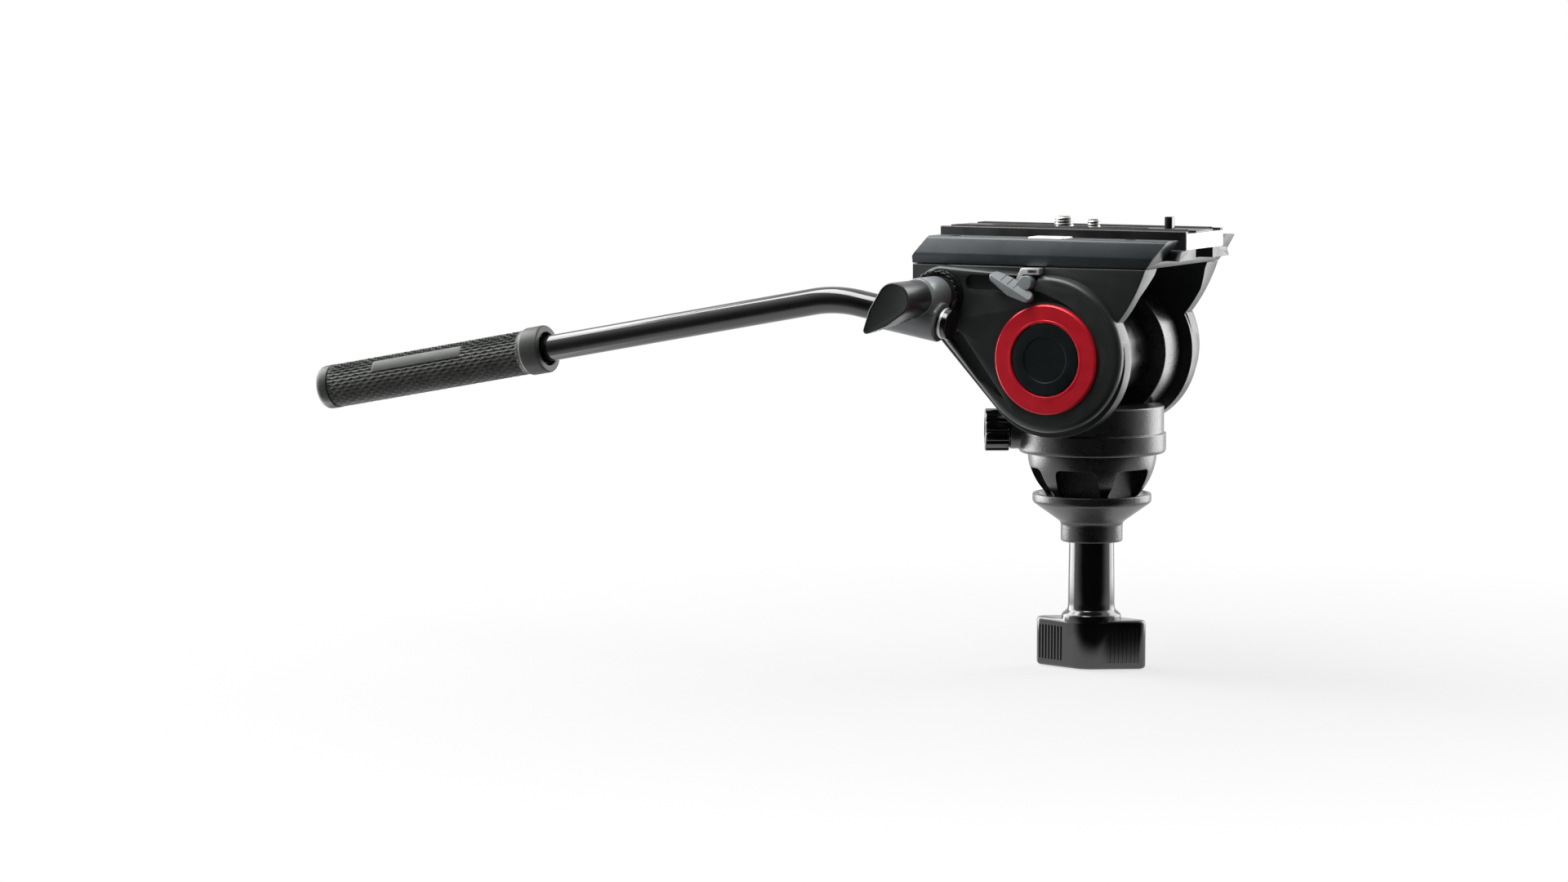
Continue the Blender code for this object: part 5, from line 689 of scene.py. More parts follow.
class MakeSideHousings(bpy.types.Operator):
    """Makes both side housings with their raised bodies, gutters, bores and the lever's pocket"""
    bl_idname = "video_head.side_housings"
    bl_label = "Side housings"

    def execute(self, context):
        for side, name, bore in ((NEAR, "near_cheek", 0.0239), (FAR, "far_cheek", 0.0185)):
            place = on_side(side, TILT_AT)
            plate = prism(cheek_outline(), CHEEK_TOP_INNER, CHEEK_OUTER, place, edge=0.0005)
            back = context.scene.head_sizes.shoulder
            rosette = ROSETTE_AT - TILT_AT
            raised = belted(hoops(0, 0.0020, 0.0361, 0.038, RAISED_FACE, back)
                            + hoops(rosette.x, rosette.z, 0.0134, 0.038, RAISED_FACE, back), place)
            flare = prism([(0.02, 0), (CHEEK_INNER, 0), (CHEEK_INNER, 0.0752), (CHEEK_TOP_INNER, 0.0852),
                           (0.02, 0.0852)], -0.09, 0.07, lengthwise(side))
            cutters = [flare, self.gutter(place),
                       bar(bore, CHEEK_INNER + 0.0015, RAISED_FACE + OVER, place),
                       bar(0.0083, CHEEK_INNER - OVER, CHEEK_INNER + OVER, place),
                       bar(0.0117, 0.0437, RAISED_FACE + OVER, on_side(side, ROSETTE_AT)),
                       bar(0.0046, CHEEK_OUTER - OVER, RAISED_FACE, on_side(side, ROSETTE_AT))]
            if side == NEAR:
                cutters += [prism(pocket_outline(), RAISED_FACE - 0.0035, RAISED_FACE + OVER, place),
                            bar(0.0036, 0.0438, 0.0543, on_side(side, LEVER_AT)),
                            bar(0.0021, 0.0332, 0.0543, on_side(side, LEVER_AT)),
                            box((-0.0154, -0.0520, 0.0843), (-0.0050, -0.0378, 0.0900))]
            else:
                lean = Vector((math.cos(TILT_LOCK_ANGLE), 0, math.sin(TILT_LOCK_ANGLE)))
                lock = on_side(side, Vector((TILT_AT.x, 0, TILT_AT.z)) + lean * TILT_LOCK_REACH)
                cutters.append(bar(0.0035, CHEEK_INNER - OVER, RAISED_FACE + OVER, lock))
            cheek = joined(plate, raised)
            for cutter in cutters:
                cheek = carved(cheek, cutter)
            stand_in(name, softened(cheek, 0.0004, 2, beyond=CHEEK_OUTER - 0.0002))
        return {"FINISHED"}

    def gutter(self, place):
        """The shallow channel between the raised body and the smooth rim at the lower rear."""
        corners = [(-0.0226, 0.0270), (-0.0453, 0.0582), (-0.0518, 0.0555), (-0.0360, 0.0352)]
        outline = filleted([(x - TILT_AT.x, z - TILT_AT.z, 0.0015) for x, z in corners])
        return prism(outline, RAISED_FACE - 0.004, RAISED_FACE + OVER, place)


class MakeDragSets(bpy.types.Operator):
    """Makes the drag rings and the dished caps on both ends of the tilt axis"""
    bl_idname = "video_head.drag_sets"
    bl_label = "Drag rings and caps"

    def execute(self, context):
        for side, name, ring, cap in ((NEAR, "near", 0.0253, 0.0166), (FAR, "far", 0.0200, 0.0130)):
            place = on_side(side, TILT_AT)
            base = RAISED_FACE + GAP
            lip = cap + GAP
            face = base + 0.0026
            stand_in(name + "_drag_ring", spun(filleted([
                (lip, base), (lip, face, 0.0004), (lip + 0.0011, face), (lip + 0.0013, face - 0.0002),
                (ring - 0.0008, face - 0.0004), (ring, face - 0.0010, 0.0006),
                (ring, base),
            ]), place, closed=True))
            top = base + 0.0024
            dish = cap * 0.62
            stand_in(name + "_cap", spun(filleted([
                (0, top - 0.0006), (dish, top - 0.0005), (dish + 0.0005, top - 0.0001), (cap - 0.0014, top),
                (cap, top - 0.0004, 0.0004), (cap, base), (0, base),
            ]), place))
        return {"FINISHED"}


# Receiver and camera plate

class MakeReceiver(bpy.types.Operator):
    """Makes the slanted receiver with its channel, its sunk screws and the clamp jaw"""
    bl_idname = "video_head.receiver"
    bl_label = "Receiver"

    def execute(self, context):
        half = [(0.0428, RECEIVER_BOTTOM, 0.0006), (0.0437, 0.0932, 0.0005),
                (0.0404, RECEIVER_TOP, 0.0014), (0.0270, RECEIVER_TOP, 0.0012),
                (0.0270, 0.0970, 0.0003), (0.0310, 0.0913, 0.0005)]
        receiver = prism(filleted(mirrored(half)), RECEIVER_REAR, RECEIVER_FRONT, lengthwise())
        above = RECEIVER_TOP + OVER
        # The front end slants back on its way down, and the rear end forward on its way up
        foot, below = 0.0449, RECEIVER_BOTTOM - OVER
        slope = (RECEIVER_FRONT - foot) / (RECEIVER_TOP - RECEIVER_BOTTOM)
        front = [(foot - OVER * slope, below), (0.0600, below), (0.0600, above),
                 (RECEIVER_FRONT + OVER * slope, above)]
        lip, sill = -0.0655, 0.0917
        slope = (lip - RECEIVER_REAR) / (RECEIVER_TOP - sill)
        rear = [(RECEIVER_REAR - OVER * slope, sill - OVER), (lip + OVER * slope, above),
                (-0.0800, above), (-0.0800, sill - OVER)]
        places = [Matrix.Translation((x, y, 0)) for x in SCREW_ENDS for y in (-SCREW_ROW, SCREW_ROW)]
        holes = [bar(0.0034, RECEIVER_TOP - 0.0041, 0.11, place, sides=48) for place in places]
        stems = [bar(0.0021, 0.08, 0.11, place, sides=32) for place in places]
        notch = box((-0.0163, -0.0399, 0.0913), (0.0023, -0.0240, 0.11))
        across = on_side(FAR, (0, 0, 0))
        receiver = carved(receiver, prism(front, -0.06, 0.06, across), prism(rear, -0.06, 0.06, across),
                          notch, gathered(*holes), gathered(*stems))
        stand_in("receiver", softened(receiver, 0.0004, 2))
        order = [(x, side * SCREW_ROW) for side in (NEAR, FAR) for x in SCREW_ENDS]
        for i, (x, y) in enumerate(order):
            stand_in(f"receiver_screw_{i + 1}", self.screw(x, y))
        jaw = [(-0.0388, PLATE_BOTTOM), (-0.0310, PLATE_BOTTOM), (-0.0270, 0.0970), (-0.0270, 0.1017),
               (-0.0388, 0.1017)]
        stand_in("clamp_jaw", softened(prism(jaw, -0.016, 0.002, lengthwise()), 0.0009, 3))
        return {"FINISHED"}

    def screw(self, x, y):
        """A cap screw with a hexagonal socket."""
        top = RECEIVER_TOP - 0.0008
        end = 0.0821
        screw = spun(filleted([
            (0, top), (0.0031, top, 0.0004), (0.0031, top - 0.003), (0.0018, top - 0.003),
            (0.0018, end), (0, end),
        ]), sides=48)
        hexagon = [around((0, 0), 0.0016, math.tau * i / 6) for i in range(6)]
        socket = prism(hexagon, top - 0.0016, top + OVER)
        return settled(carved(screw, socket), Matrix.Translation((x, y, 0)))


class MakeCameraPlate(bpy.types.Operator):
    """Makes the camera plate with its bright ends, ribbed strips, screws and guide pin"""
    bl_idname = "video_head.camera_plate"
    bl_label = "Camera plate"

    def execute(self, context):
        plate = prism(self.section(), PLATE_REAR + GAP, PLATE_FRONT - GAP, lengthwise())
        slot = prism(belt((-0.0480, 0), 0.0049, (0.0240, 0), 0.0049), 0.09, 0.11)
        pin_hole = box((0.0360, -0.0022, 0.095), (0.0404, 0.0022, 0.11))
        pin_place = Matrix.Translation((PIN_X, 0, 0))
        pocket = bar(0.0044, 0.095, 0.1032, pin_place, sides=48)
        grooves = [box((-0.09, side * y - 0.0003, PLATE_TOP - 0.0004), (0.07, side * y + 0.0003, 0.11))
                   for side in (NEAR, FAR) for y in (0.0078, 0.0204)]
        plate = carved(plate, slot, pin_hole, pocket, gathered(*grooves))
        stand_in("camera_plate", softened(plate, 0.00025, 2))
        # The bright aluminium ends cover only the plate's upper body. The end of the dovetail foot is left in
        # the plate's black as painted shade, standing for the shadow under the plate there
        for name, low, high in (("rear", PLATE_REAR, PLATE_REAR + 0.0006),
                                ("front", PLATE_FRONT - 0.0006, PLATE_FRONT)):
            end = box((low, -0.0218, 0.0964), (high, 0.0218, PLATE_TOP - 0.0012), edge=0.0002)
            piece("plate_end_" + name, end, "aluminium", "sliding_plate")
        for side, name in ((NEAR, "near"), (FAR, "far")):
            stand_in("plate_pad_" + name, self.strip(side * STRIP_Y))
        self.screw("large_camera_screw", -0.0148, 0.0046, 0.0048, 0.0046)
        self.screw("small_camera_screw", 0.0003, 0.0031, 0.0037, 0.0046)
        shank = box((0.0363, -0.0019, 0.1020), (0.0401, 0.0019, PLATE_TOP + 0.0056), edge=0.0005)
        flange = bar(0.0040, 0.1013, 0.1029, pin_place, sides=48)
        stand_in("guide_pin", joined(shank, flange))
        return {"FINISHED"}

    def section(self):
        """The plate's section: a dovetail foot, a narrower top, two strip seats and a channel."""
        base = 0.0310 - FLANK_LEAN * GAP - 0.0008
        foot = 0.0044
        seat = PLATE_TOP - 0.001
        half = [
            (0.0100, PLATE_BOTTOM, 0.0003), (base, PLATE_BOTTOM, 0.0006),
            (base - FLANK_LEAN * foot, PLATE_BOTTOM + foot), (0.0222, PLATE_BOTTOM + foot, 0.0004),
            (0.0222, PLATE_TOP, 0.0006), (0.0191, PLATE_TOP, 0.0002),
            (0.0191, seat), (0.0099, seat), (0.0099, PLATE_TOP, 0.0002),
        ]
        channel = [(-0.0100, PLATE_CHANNEL), (0.0100, PLATE_CHANNEL)]
        return filleted(mirrored(half) + channel)

    def strip(self, y):
        """A rubber strip with five ribs along it."""
        low = PLATE_TOP - 0.0007
        reach, pitch, height, run = 0.00425, 0.0017, 0.0005, 0.058
        outline = [(y - reach, low), (y + reach, low)]
        for i in range(5):
            for share, rise in ((0, 0), (0.25, height), (0.75, height), (1, 0)):
                outline.append((y + reach - (i + share) * pitch, PLATE_TOP + rise))
        middle = (PLATE_REAR + PLATE_FRONT) / 2
        return tidied(prism(outline, middle - run, middle + run, lengthwise()))

    def screw(self, node, x, radius, rise, collar):
        """A camera screw: a threaded end, a plain collar and a slotted head under the plate."""
        head = PLATE_CHANNEL - GAP
        stem = spun(filleted([
            (0, PLATE_TOP), (radius * 0.8, PLATE_TOP), (collar, PLATE_TOP - 0.001, 0.0003), (collar, head),
            (0.0068, head, 0.0003), (0.0068, head - 0.0046, 0.0004), (0, head - 0.0046),
        ]), sides=64)
        thread = threaded(radius, 0.0005, PLATE_TOP - 0.0005, PLATE_TOP + rise,
                          bpy.context.scene.head_sizes.thread)
        slot = box((-0.01, -0.0008, head - 0.006), (0.01, 0.0008, head - 0.0030))
        screw = carved(joined(stem, thread), slot)
        stand_in(node, settled(screw, Matrix.Translation((x, 0, 0))))


class MakePlateLock(bpy.types.Operator):
    """Makes the paddle lever of the camera plate and the safety catch beside it"""
    bl_idname = "video_head.plate_lock"
    bl_label = "Plate lock"

    def execute(self, context):
        place = on_side(NEAR, LEVER_AT)
        tip = Vector((-0.0102 - LEVER_AT.x, 0.0748 - LEVER_AT.z))
        back = Vector((-0.0257 - LEVER_AT.x, 0.0835 - LEVER_AT.z))
        circles = []
        for centre, radius in ((tip, 0.0025), (tip.lerp(back, 0.45), 0.0040), (back, 0.0025)):
            circles += hoops(*centre, radius, PADDLE_LOW, PADDLE_HIGH, 0.0010, 0.0008)
        paddle = belted(circles)
        run = (tip - back).normalized()
        upward = Vector((-run.y, run.x, 0))
        slant = math.radians(55)
        ridge = ((tip + back) / 2).to_3d() + Vector((0, 0, PADDLE_HIGH))
        normal = upward * math.sin(slant) + Vector((0, 0, math.cos(slant)))
        halved(paddle, ridge, normal)
        softened(paddle, 0.0005, 3, math.radians(25))
        slope = upward * math.cos(slant) - Vector((0, 0, math.sin(slant)))
        turn = Matrix((run.to_3d(), slope, normal)).transposed().to_4x4()
        grooves = []
        for i in range(3):
            at = Matrix.Translation(ridge + run.to_3d() * (0.5 - i) * 0.0036)
            grooves.append(box((-0.0002, 0.0008, -0.0004), (0.0002, 0.009, 0.0020), at @ turn))
        paddle = carved(paddle, gathered(*grooves))
        neck = prism(belt((0, 0), 0.0029, tip.lerp(back, 0.35), 0.0020), 0.0488, 0.0512)
        hub = bar(0.0032, 0.0452, 0.0515, edge=0.0004)
        socket = bar(0.0021, 0.0440, 0.0494)
        lever = carved(joined(paddle, neck, hub), socket)
        stand_in("plate_lock_lever", settled(lever, place))
        plate = box((-0.0149, -0.0488, 0.0848), (-0.0055, -0.0405, 0.0878), edge=0.0004)
        window = box((-0.0112, -0.0500, 0.0857), (-0.0066, -0.0450, 0.0870))
        leg = prism([(-0.0149, 0.0872), (-0.0129, 0.0860), (-0.0158, 0.0813), (-0.0174, 0.0821)],
                    0.0471, 0.0488, on_side(NEAR, (0, 0, 0)), edge=0.0003)
        stand_in("safety_catch", joined(carved(plate, window), leg))
        return {"FINISHED"}


class MakeTiltLock(bpy.types.Operator):
    """Makes the tilt lock lever on the far side"""
    bl_idname = "video_head.tilt_lock"
    bl_label = "Tilt lock"

    def execute(self, context):
        at = Vector(JOINTS["tilt_lock_turn"]["pos_m"])
        tip = around((0, 0), 0.0290, math.radians(196))
        low, high = 0.0510, 0.0557
        arm = belted(hoops(0, 0, 0.0058, low, high, 0.0010, 0.0006)
                     + hoops(*tip, 0.0040, low, high, 0.0010, 0.0006))
        hub = bar(0.0062, 0.0490, 0.0560, edge=0.0010)
        socket = bar(0.0030, 0.0480, 0.0513)
        slit = box((-0.0030, -0.0004, 0.0556), (0.0030, 0.0004, 0.0570))
        grooves = [box((-0.0003, -0.0030, 0.0554), (0.0003, 0.0030, 0.0570),
                       Matrix.Translation((tip[0] + 0.0025 * i, tip[1] + 0.0007 * i, 0)))
                   for i in range(4)]
        lever = carved(joined(arm, hub), socket, gathered(slit, *grooves))
        stand_in("tilt_lock_lever", settled(softened(lever, 0.00015, 1), on_side(FAR, at)))
        return {"FINISHED"}


# Base, half ball, bowl clamp and knobs

class MakePanHousing(bpy.types.Operator):
    """Makes the base casting with its ears and bosses, and the bubble level"""
    bl_idname = "video_head.pan_housing"
    bl_label = "Pan housing"

    def execute(self, context):
        base = spun(filleted([
            (0, 0.0224), (0.0333, 0.0224, 0.0012), (0.0333, 0.0098, 0.0003), (0.0343, 0.0094, 0.0004),
            (0.0343, 0, 0.0022), (0, 0),
        ]))
        ears = [bar(0.0317, low, 0.0330, on_side(side, TILT_AT), 0.0009, 0.0009)
                for side, low in ((NEAR, 0.0250), (FAR, 0.0150))]
        lock_place = outward(PAN_LOCK_ANGLE, PAN_LOCK_HEIGHT)
        lock = bar(0.0088, 0.0220, 0.0386, lock_place, 0.0010)
        x, y = around((0, 0), 0.0378, math.radians(150))
        level_place = Matrix.Translation((x, y, 0))
        level_boss = bar(0.0074, 0.0040, 0.0176, level_place, 0.0008, 0.0008)
        cavity = spun([(0, 0.0200), (0.0168, 0.0200), (0.0168, 0.0136), (0.0220, 0.0136), (0.0220, -OVER),
                       (0, -OVER)])
        seat = 0.0330 - 0.0053
        axle = spun([(0, 0.036), (0.0108, 0.036), (0.0108, seat), (0.0063, seat), (0.0063, -seat),
                     (0.0108, -seat), (0.0108, -0.036), (0, -0.036)], on_side(NEAR, TILT_AT))
        well = bar(0.0058, 0.0137, 0.0206, level_place)
        hole = bar(0.0033, 0.0165, 0.0416, lock_place, sides=32)
        housing = carved(joined(base, *ears, lock, level_boss), cavity, axle, gathered(well, hole))
        stand_in("pan_housing", softened(housing, 0.0003, 2))
        level = spun([(0, 0.0140), (0.0053, 0.0140), (0.0053, 0.0178), *curved(
            (0.0050, 0.0180), (0.0025, 0.0182), (0, 0.0182), 6)], level_place)
        stand_in("bubble_level", level)
        piece("level_mark", tube(0.0021, 0.0023, 0.0175, 0.01825, level_place), "black_plastic", "pan")
        bubble = spun(filleted([(0, 0.01845), (0.0014, 0.0184, 0.0003), (0.0014, 0.0176), (0, 0.0176)]),
                      Matrix.Translation((x + 0.0004, y - 0.0003, 0)), sides=32)
        piece("level_bubble", bubble, "aluminium", "pan")
        return {"FINISHED"}


class MakePanLock(bpy.types.Operator):
    """Makes the fluted pan lock knob"""
    bl_idname = "video_head.pan_lock"
    bl_label = "Pan lock knob"

    def execute(self, context):
        outline = []
        flutes = 12
        sides = 12 * flutes
        for i in range(sides):
            angle = math.tau * i / sides
            dip = max(0.0, math.cos(flutes * angle)) ** 0.5
            outline.append(around((0, 0), 0.0099 - 0.0010 * dip, angle))
        place = outward(PAN_LOCK_ANGLE, PAN_LOCK_HEIGHT)
        knob = prism(outline, 0.0389, 0.0500, place, edge=0.0009, foot=0.0004)
        face = spun(filleted([(0, 0.0496), (0.0062, 0.0496, 0.0003), (0.0066, 0.0520), (0, 0.0520)]), place)
        socket = bar(0.0033, 0.0380, 0.0449, place, sides=32)
        stand_in("pan_lock_knob", carved(knob, face, socket))
        return {"FINISHED"}


class MakeHalfBall(bpy.types.Operator):
    """Makes the half ball with its rounded windows between the ribs"""
    bl_idname = "video_head.half_ball"
    bl_label = "Half ball"

    def execute(self, context):
        high, low = -0.0004, -0.0240
        top = math.asin((high - BALL_CENTRE) / BALL_RADIUS)
        bottom = math.asin((low - BALL_CENTRE) / BALL_RADIUS)
        skin = arc((0, BALL_CENTRE), BALL_RADIUS, top, bottom, math.radians(2.5))
        core = [(0.0148, low), (0.0148, -0.0054), (0.0070, -0.0054), (0.0070, -0.0170), (0.0050, -0.0170)]
        ball = spun([(0.0050, high)] + skin + core, closed=True)
        windows = []
        for i in range(6):
            angle = math.radians(8) + math.tau * (i + 0.5) / 6
            # Local x is up, so the rectangle's first number is its height
            windows.append(prism(rectangle((-0.0200, -0.0100), (-0.0065, 0.0100), 0.0030), 0.0178, 0.0330,
                                 outward(angle, 0)))
        ball = carved(ball, gathered(*windows))
        stand_in("half_ball", softened(ball, 0.0006, 3))
        return {"FINISHED"}


class MakeBowlClamp(bpy.types.Operator):
    """Makes the cup that is drawn up under the bowl, with its rounded lip and collar"""
    bl_idname = "video_head.bowl_clamp"
    bl_label = "Bowl clamp cup"

    def execute(self, context):
        cup = spun(filleted([
            (0.0259, -0.0190, 0.0005), (0.0277, -0.0190, 0.0008), (0.0277, -0.0230, 0.0012),
            (0.0144, -0.0325, 0.0016), (0.0144, -0.0415, 0.0010), (0.0110, -0.0415, 0.0004),
            (0.0110, -0.0345), (0.0050, -0.0345), (0.0050, -0.0310), (0.0110, -0.0310, 0.0010),
            (0.0249, -0.0221, 0.0010),
        ]), closed=True)
        stand_in("clamp_cup", cup, math.radians(40))
        return {"FINISHED"}


class MakeTieDownKnob(bpy.types.Operator):
    """Makes the tie-down knob: a long neck, a shoulder and two grooved wings"""
    bl_idname = "video_head.tie_down_knob"
    bl_label = "Tie-down knob"

    def execute(self, context):
        neck = spun(filleted([
            (0, -0.0740), (0.0050, -0.0740), (0.0050, -0.0434), (0.0081, -0.0434), (0.0081, -0.0348),
            (0.0104, -0.0348, 0.0005), (0.0109, -0.0720, 0.0020), (0.0112, -0.0735, 0.0008),
            (0.0139, -0.0757, 0.0010), (0.0139, -0.0790), (0, -0.0790),
        ]))
        low, high, edge = -0.1006, -0.0778, 0.0018
        wings = belted(hoops(0, 0, WING_HUB, low, high, edge, edge)
                       + hoops(WING_REACH, 0, WING_TIP, low, high, edge, edge)
                       + hoops(-WING_REACH, 0, WING_TIP, low, high, edge, edge),
                       Matrix.Rotation(WING_TURN, 4, "Z"))
        knob = carved(joined(neck, wings), gathered(*self.grooves(low + 0.0034, high - 0.0034)))
        stand_in("tie_down_knob", softened(knob, 0.0002, 1, math.radians(40)))
        return {"FINISHED"}

    def grooves(self, low, high):
        """Eight upright finger grooves in each face of each wing."""
        spread = math.acos((WING_HUB - WING_TIP) / WING_REACH)
        groove = rectangle((-0.0005, -0.0008), (0.0005, 0.0008), 0.0002)
        made = []
        for wing in (0, math.pi):
            for face in (-1, 1):
                turn = WING_TURN + wing
                normal = turn + face * spread
                end = around(around((0, 0), WING_REACH, turn), WING_TIP, normal)
                place = Matrix.Translation((*end, 0)) @ Matrix.Rotation(normal - face * QUARTER, 4, "Z")
                made += [prism(groove, low, high, place @ Matrix.Translation((-i * 0.0019, 0, 0)))
                         for i in range(8)]
        return made


# Pan bar

class MakeBarHolder(bpy.types.Operator):
    """Makes the toothed rosettes and the holder with its notched ring, barrel and sleeve"""
    bl_idname = "video_head.bar_holder"
    bl_label = "Rosettes and holder"

    def execute(self, context):
        for side, name in ((NEAR, "near_rosette"), (FAR, "far_rosette")):
            disc = tube(0.0040, 0.0114, 0.0440, ROSETTE_FACE, edge=0.0004)
            lift = Matrix.Translation((0, 0, ROSETTE_FACE))
            tilt = Matrix.Rotation(QUARTER / 2, 4, "X")
            gaps = [box((0.0072, -0.0004, -0.0004), (0.0124, 0.0004, 0.0004),
                        Matrix.Rotation(math.tau * i / TEETH, 4, "Z") @ lift @ tilt) for i in range(TEETH)]
            stand_in(name, settled(carved(disc, gathered(*gaps)), on_side(side, ROSETTE_AT)))
        place = on_side(NEAR, ROSETTE_AT)
        barrel = spun(filleted([(0, 0.0500), (0.0087, 0.0520), (0.0087, 0.0737, 0.0010), (0, 0.0737)]), place)
        rim = []
        for i in range(TEETH):
            for share, reach in ((0, 0.0114), (0.55, 0.0114), (0.65, 0.0109), (0.9, 0.0109)):
                rim.append(around((0, 0), reach, math.tau * (i + share) / TEETH))
        ring = carved(prism(rim, 0.0504, 0.0548, place, 0.0003, 0.0003), bar(0.0085, 0.05, 0.06, place))
        piece("holder_ring", ring, "black_plastic", "pan_bar")
        bar_place = aimed(BAR_FORWARD, BAR_FOOT)
        sleeve = bar(0.0092, -0.0205, 0.0085, bar_place, 0.0010, 0.0010)
        bore = bar(BAR_RADIUS + GAP, -0.03, 0.02, bar_place)
        bolt = bar(0.0031, 0.0471, 0.0767, place, sides=48)
        slit = box((-0.02, -0.0006, -0.03), (-0.004, 0.0006, 0.02), bar_place)
        groove = tube(0.0074, 0.0120, 0.0722, 0.0732, place)
        holder = carved(joined(barrel, sleeve), bore, bolt, slit, groove)
        stand_in("bar_holder", softened(holder, 0.0003, 2))
        return {"FINISHED"}


class MakePanBar(bpy.types.Operator):
    """Makes the bent tube and the plug in its front end"""
    bl_idname = "video_head.pan_bar"
    bl_label = "Pan bar"

    def execute(self, context):
        bend = BAR_FRONT_ANGLE + BAR_REAR_ANGLE
        radius = 0.0650
        run = radius * math.tan(bend / 2)
        start = BAR_FOOT + BAR_FORWARD * 0.0085
        first = BAR_CORNER + BAR_FORWARD * run
        downward = Vector((math.sin(BAR_FRONT_ANGLE), 0, math.cos(BAR_FRONT_ANGLE)))
        centre = first - downward * radius
        bm = bmesh.new()
        bmesh.ops.create_circle(bm, cap_ends=True, segments=steps(), radius=BAR_RADIUS,
                                matrix=aimed(BAR_FORWARD, start))
        edges = self.drawn(bm, bm.edges[:], first - start)
        made = bmesh.ops.spin(bm, geom=edges + list({v for e in edges for v in e.verts}), cent=centre,
                              axis=(0, 1, 0), dvec=(0, 0, 0), angle=-bend, steps=24,
                              use_merge=False, use_duplicate=False)["geom_last"]
        edges = [item for item in made if isinstance(item, bmesh.types.BMEdge)]
        end = GRIP_END - CAP_DEPTH - 0.0026
        self.drawn(bm, edges, BAR_REARWARD * (end - run))
        bmesh.ops.holes_fill(bm, edges=[e for e in bm.edges if e.is_boundary])
        bmesh.ops.remove_doubles(bm, verts=bm.verts, dist=WELD)
        bmesh.ops.recalc_face_normals(bm, faces=bm.faces)
        stand_in("bar_tube", bm)
        place = aimed(BAR_FORWARD, BAR_FOOT)
        low, high = 0.0088, 0.0136
        plug = spun(filleted([
            (0, high - 0.0003), (0.0048, high - 0.0003), (0.0053, high), (0.0071, high, 0.0007),
            (0.0071, low), (0.0044, low), (0.0044, 0.0012), (0, 0.0012),
        ]), place)
        stand_in("bar_end_plug", plug)
        band = tube(0.0065, 0.00715, low + 0.0010, low + 0.0022, place, 0.0003)
        piece("plug_band", band, "aluminium", frame["nodes"]["bar_end_plug"]["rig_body"])
        return {"FINISHED"}

    def drawn(self, bm, edges, way):
        """Draws a ring of edges along a straight and returns the new ring."""
        made = bmesh.ops.extrude_edge_only(bm, edges=edges)["geom"]
        verts = [item for item in made if isinstance(item, bmesh.types.BMVert)]
        bmesh.ops.translate(bm, verts=verts, vec=way)
        ring = set(verts)
        return [item for item in made if isinstance(item, bmesh.types.BMEdge) and set(item.verts) <= ring]


class MakeGrip(bpy.types.Operator):
    """Makes the rubber grip with its staggered scales and bare pad, and its end cap"""
    bl_idname = "video_head.grip"
    bl_label = "Grip"

    def execute(self, context):
        sizes = context.scene.head_sizes
        place = aimed(BAR_REARWARD, BAR_CORNER)
        start, end = GRIP_START, GRIP_END
        low, high = start + 0.0112, end - 0.0004
        rows = 170
        skin = [(GRIP_RADIUS, low + (high - low) * i / rows) for i in range(rows + 1)]
        outline = [(0.0065, end), (0.0098, end)] + skin[::-1] + filleted([
            (0.0108, start + 0.0106, 0.0003), (0.0114, start + 0.0094, 0.0006), (0.0114, start, 0.0011),
            (0.0080, start, 0.0005), (0.0080, start + 0.0040), (0.0065, start + 0.0040)])
        grip = spun(outline, sides=240, closed=True)
        for vert in grip.verts:
            reach = vert.co.to_2d().length
            if abs(reach - GRIP_RADIUS) < WELD and low - WELD < vert.co.z < high + WELD:
                angle = math.atan2(vert.co.y, vert.co.x)
                depth = self.relief(angle, vert.co.z - start, high - start, sizes)
                vert.co.xy *= (reach - depth) / reach
        stand_in("grip", settled(grip, place), math.radians(60))
        cap = spun(filleted([
            (0, end + 0.0070), (GRIP_RADIUS, end + 0.0070, 0.0030), (GRIP_RADIUS, end + GAP, 0.0004),
            (0.0062, end + GAP), (0.0062, end - CAP_DEPTH), (0, end - CAP_DEPTH),
        ]), place)
        stand_in("grip_end_cap", cap)
        return {"FINISHED"}

    def relief(self, angle, run, last, sizes):
        """How far the skin lies below its full radius: each scale slopes down, and the pad is bare."""
        pad = math.radians(-54)
        beside = abs(angle - pad) * GRIP_RADIUS
        if 0.0436 < run < 0.0944 and beside < 0.0031:
            return 0.00005
        fade = min(1.0, (run - 0.0112) / 0.0015, (last - run) / 0.0008)
        if fade <= 0:
            return 0.0
        row = (math.pi - abs(angle)) / math.pi * 20
        number = math.floor(row)
        arch = self.arch(run, number, sizes)
        rise = row - number - arch
        if rise < 0:
            # The place is still below this row's arches, so it belongs to the row before
            rise += 1 + arch - self.arch(run, number - 1, sizes)
        return sizes.relief * fade * min(1.0, rise) ** 0.8

    def arch(self, run, number, sizes):
        """How far a row of scales starts late, in rows, each row half a scale on from the last."""
        return 0.34 * abs(math.sin(math.pi * (run / sizes.scale_run + number / 2)))


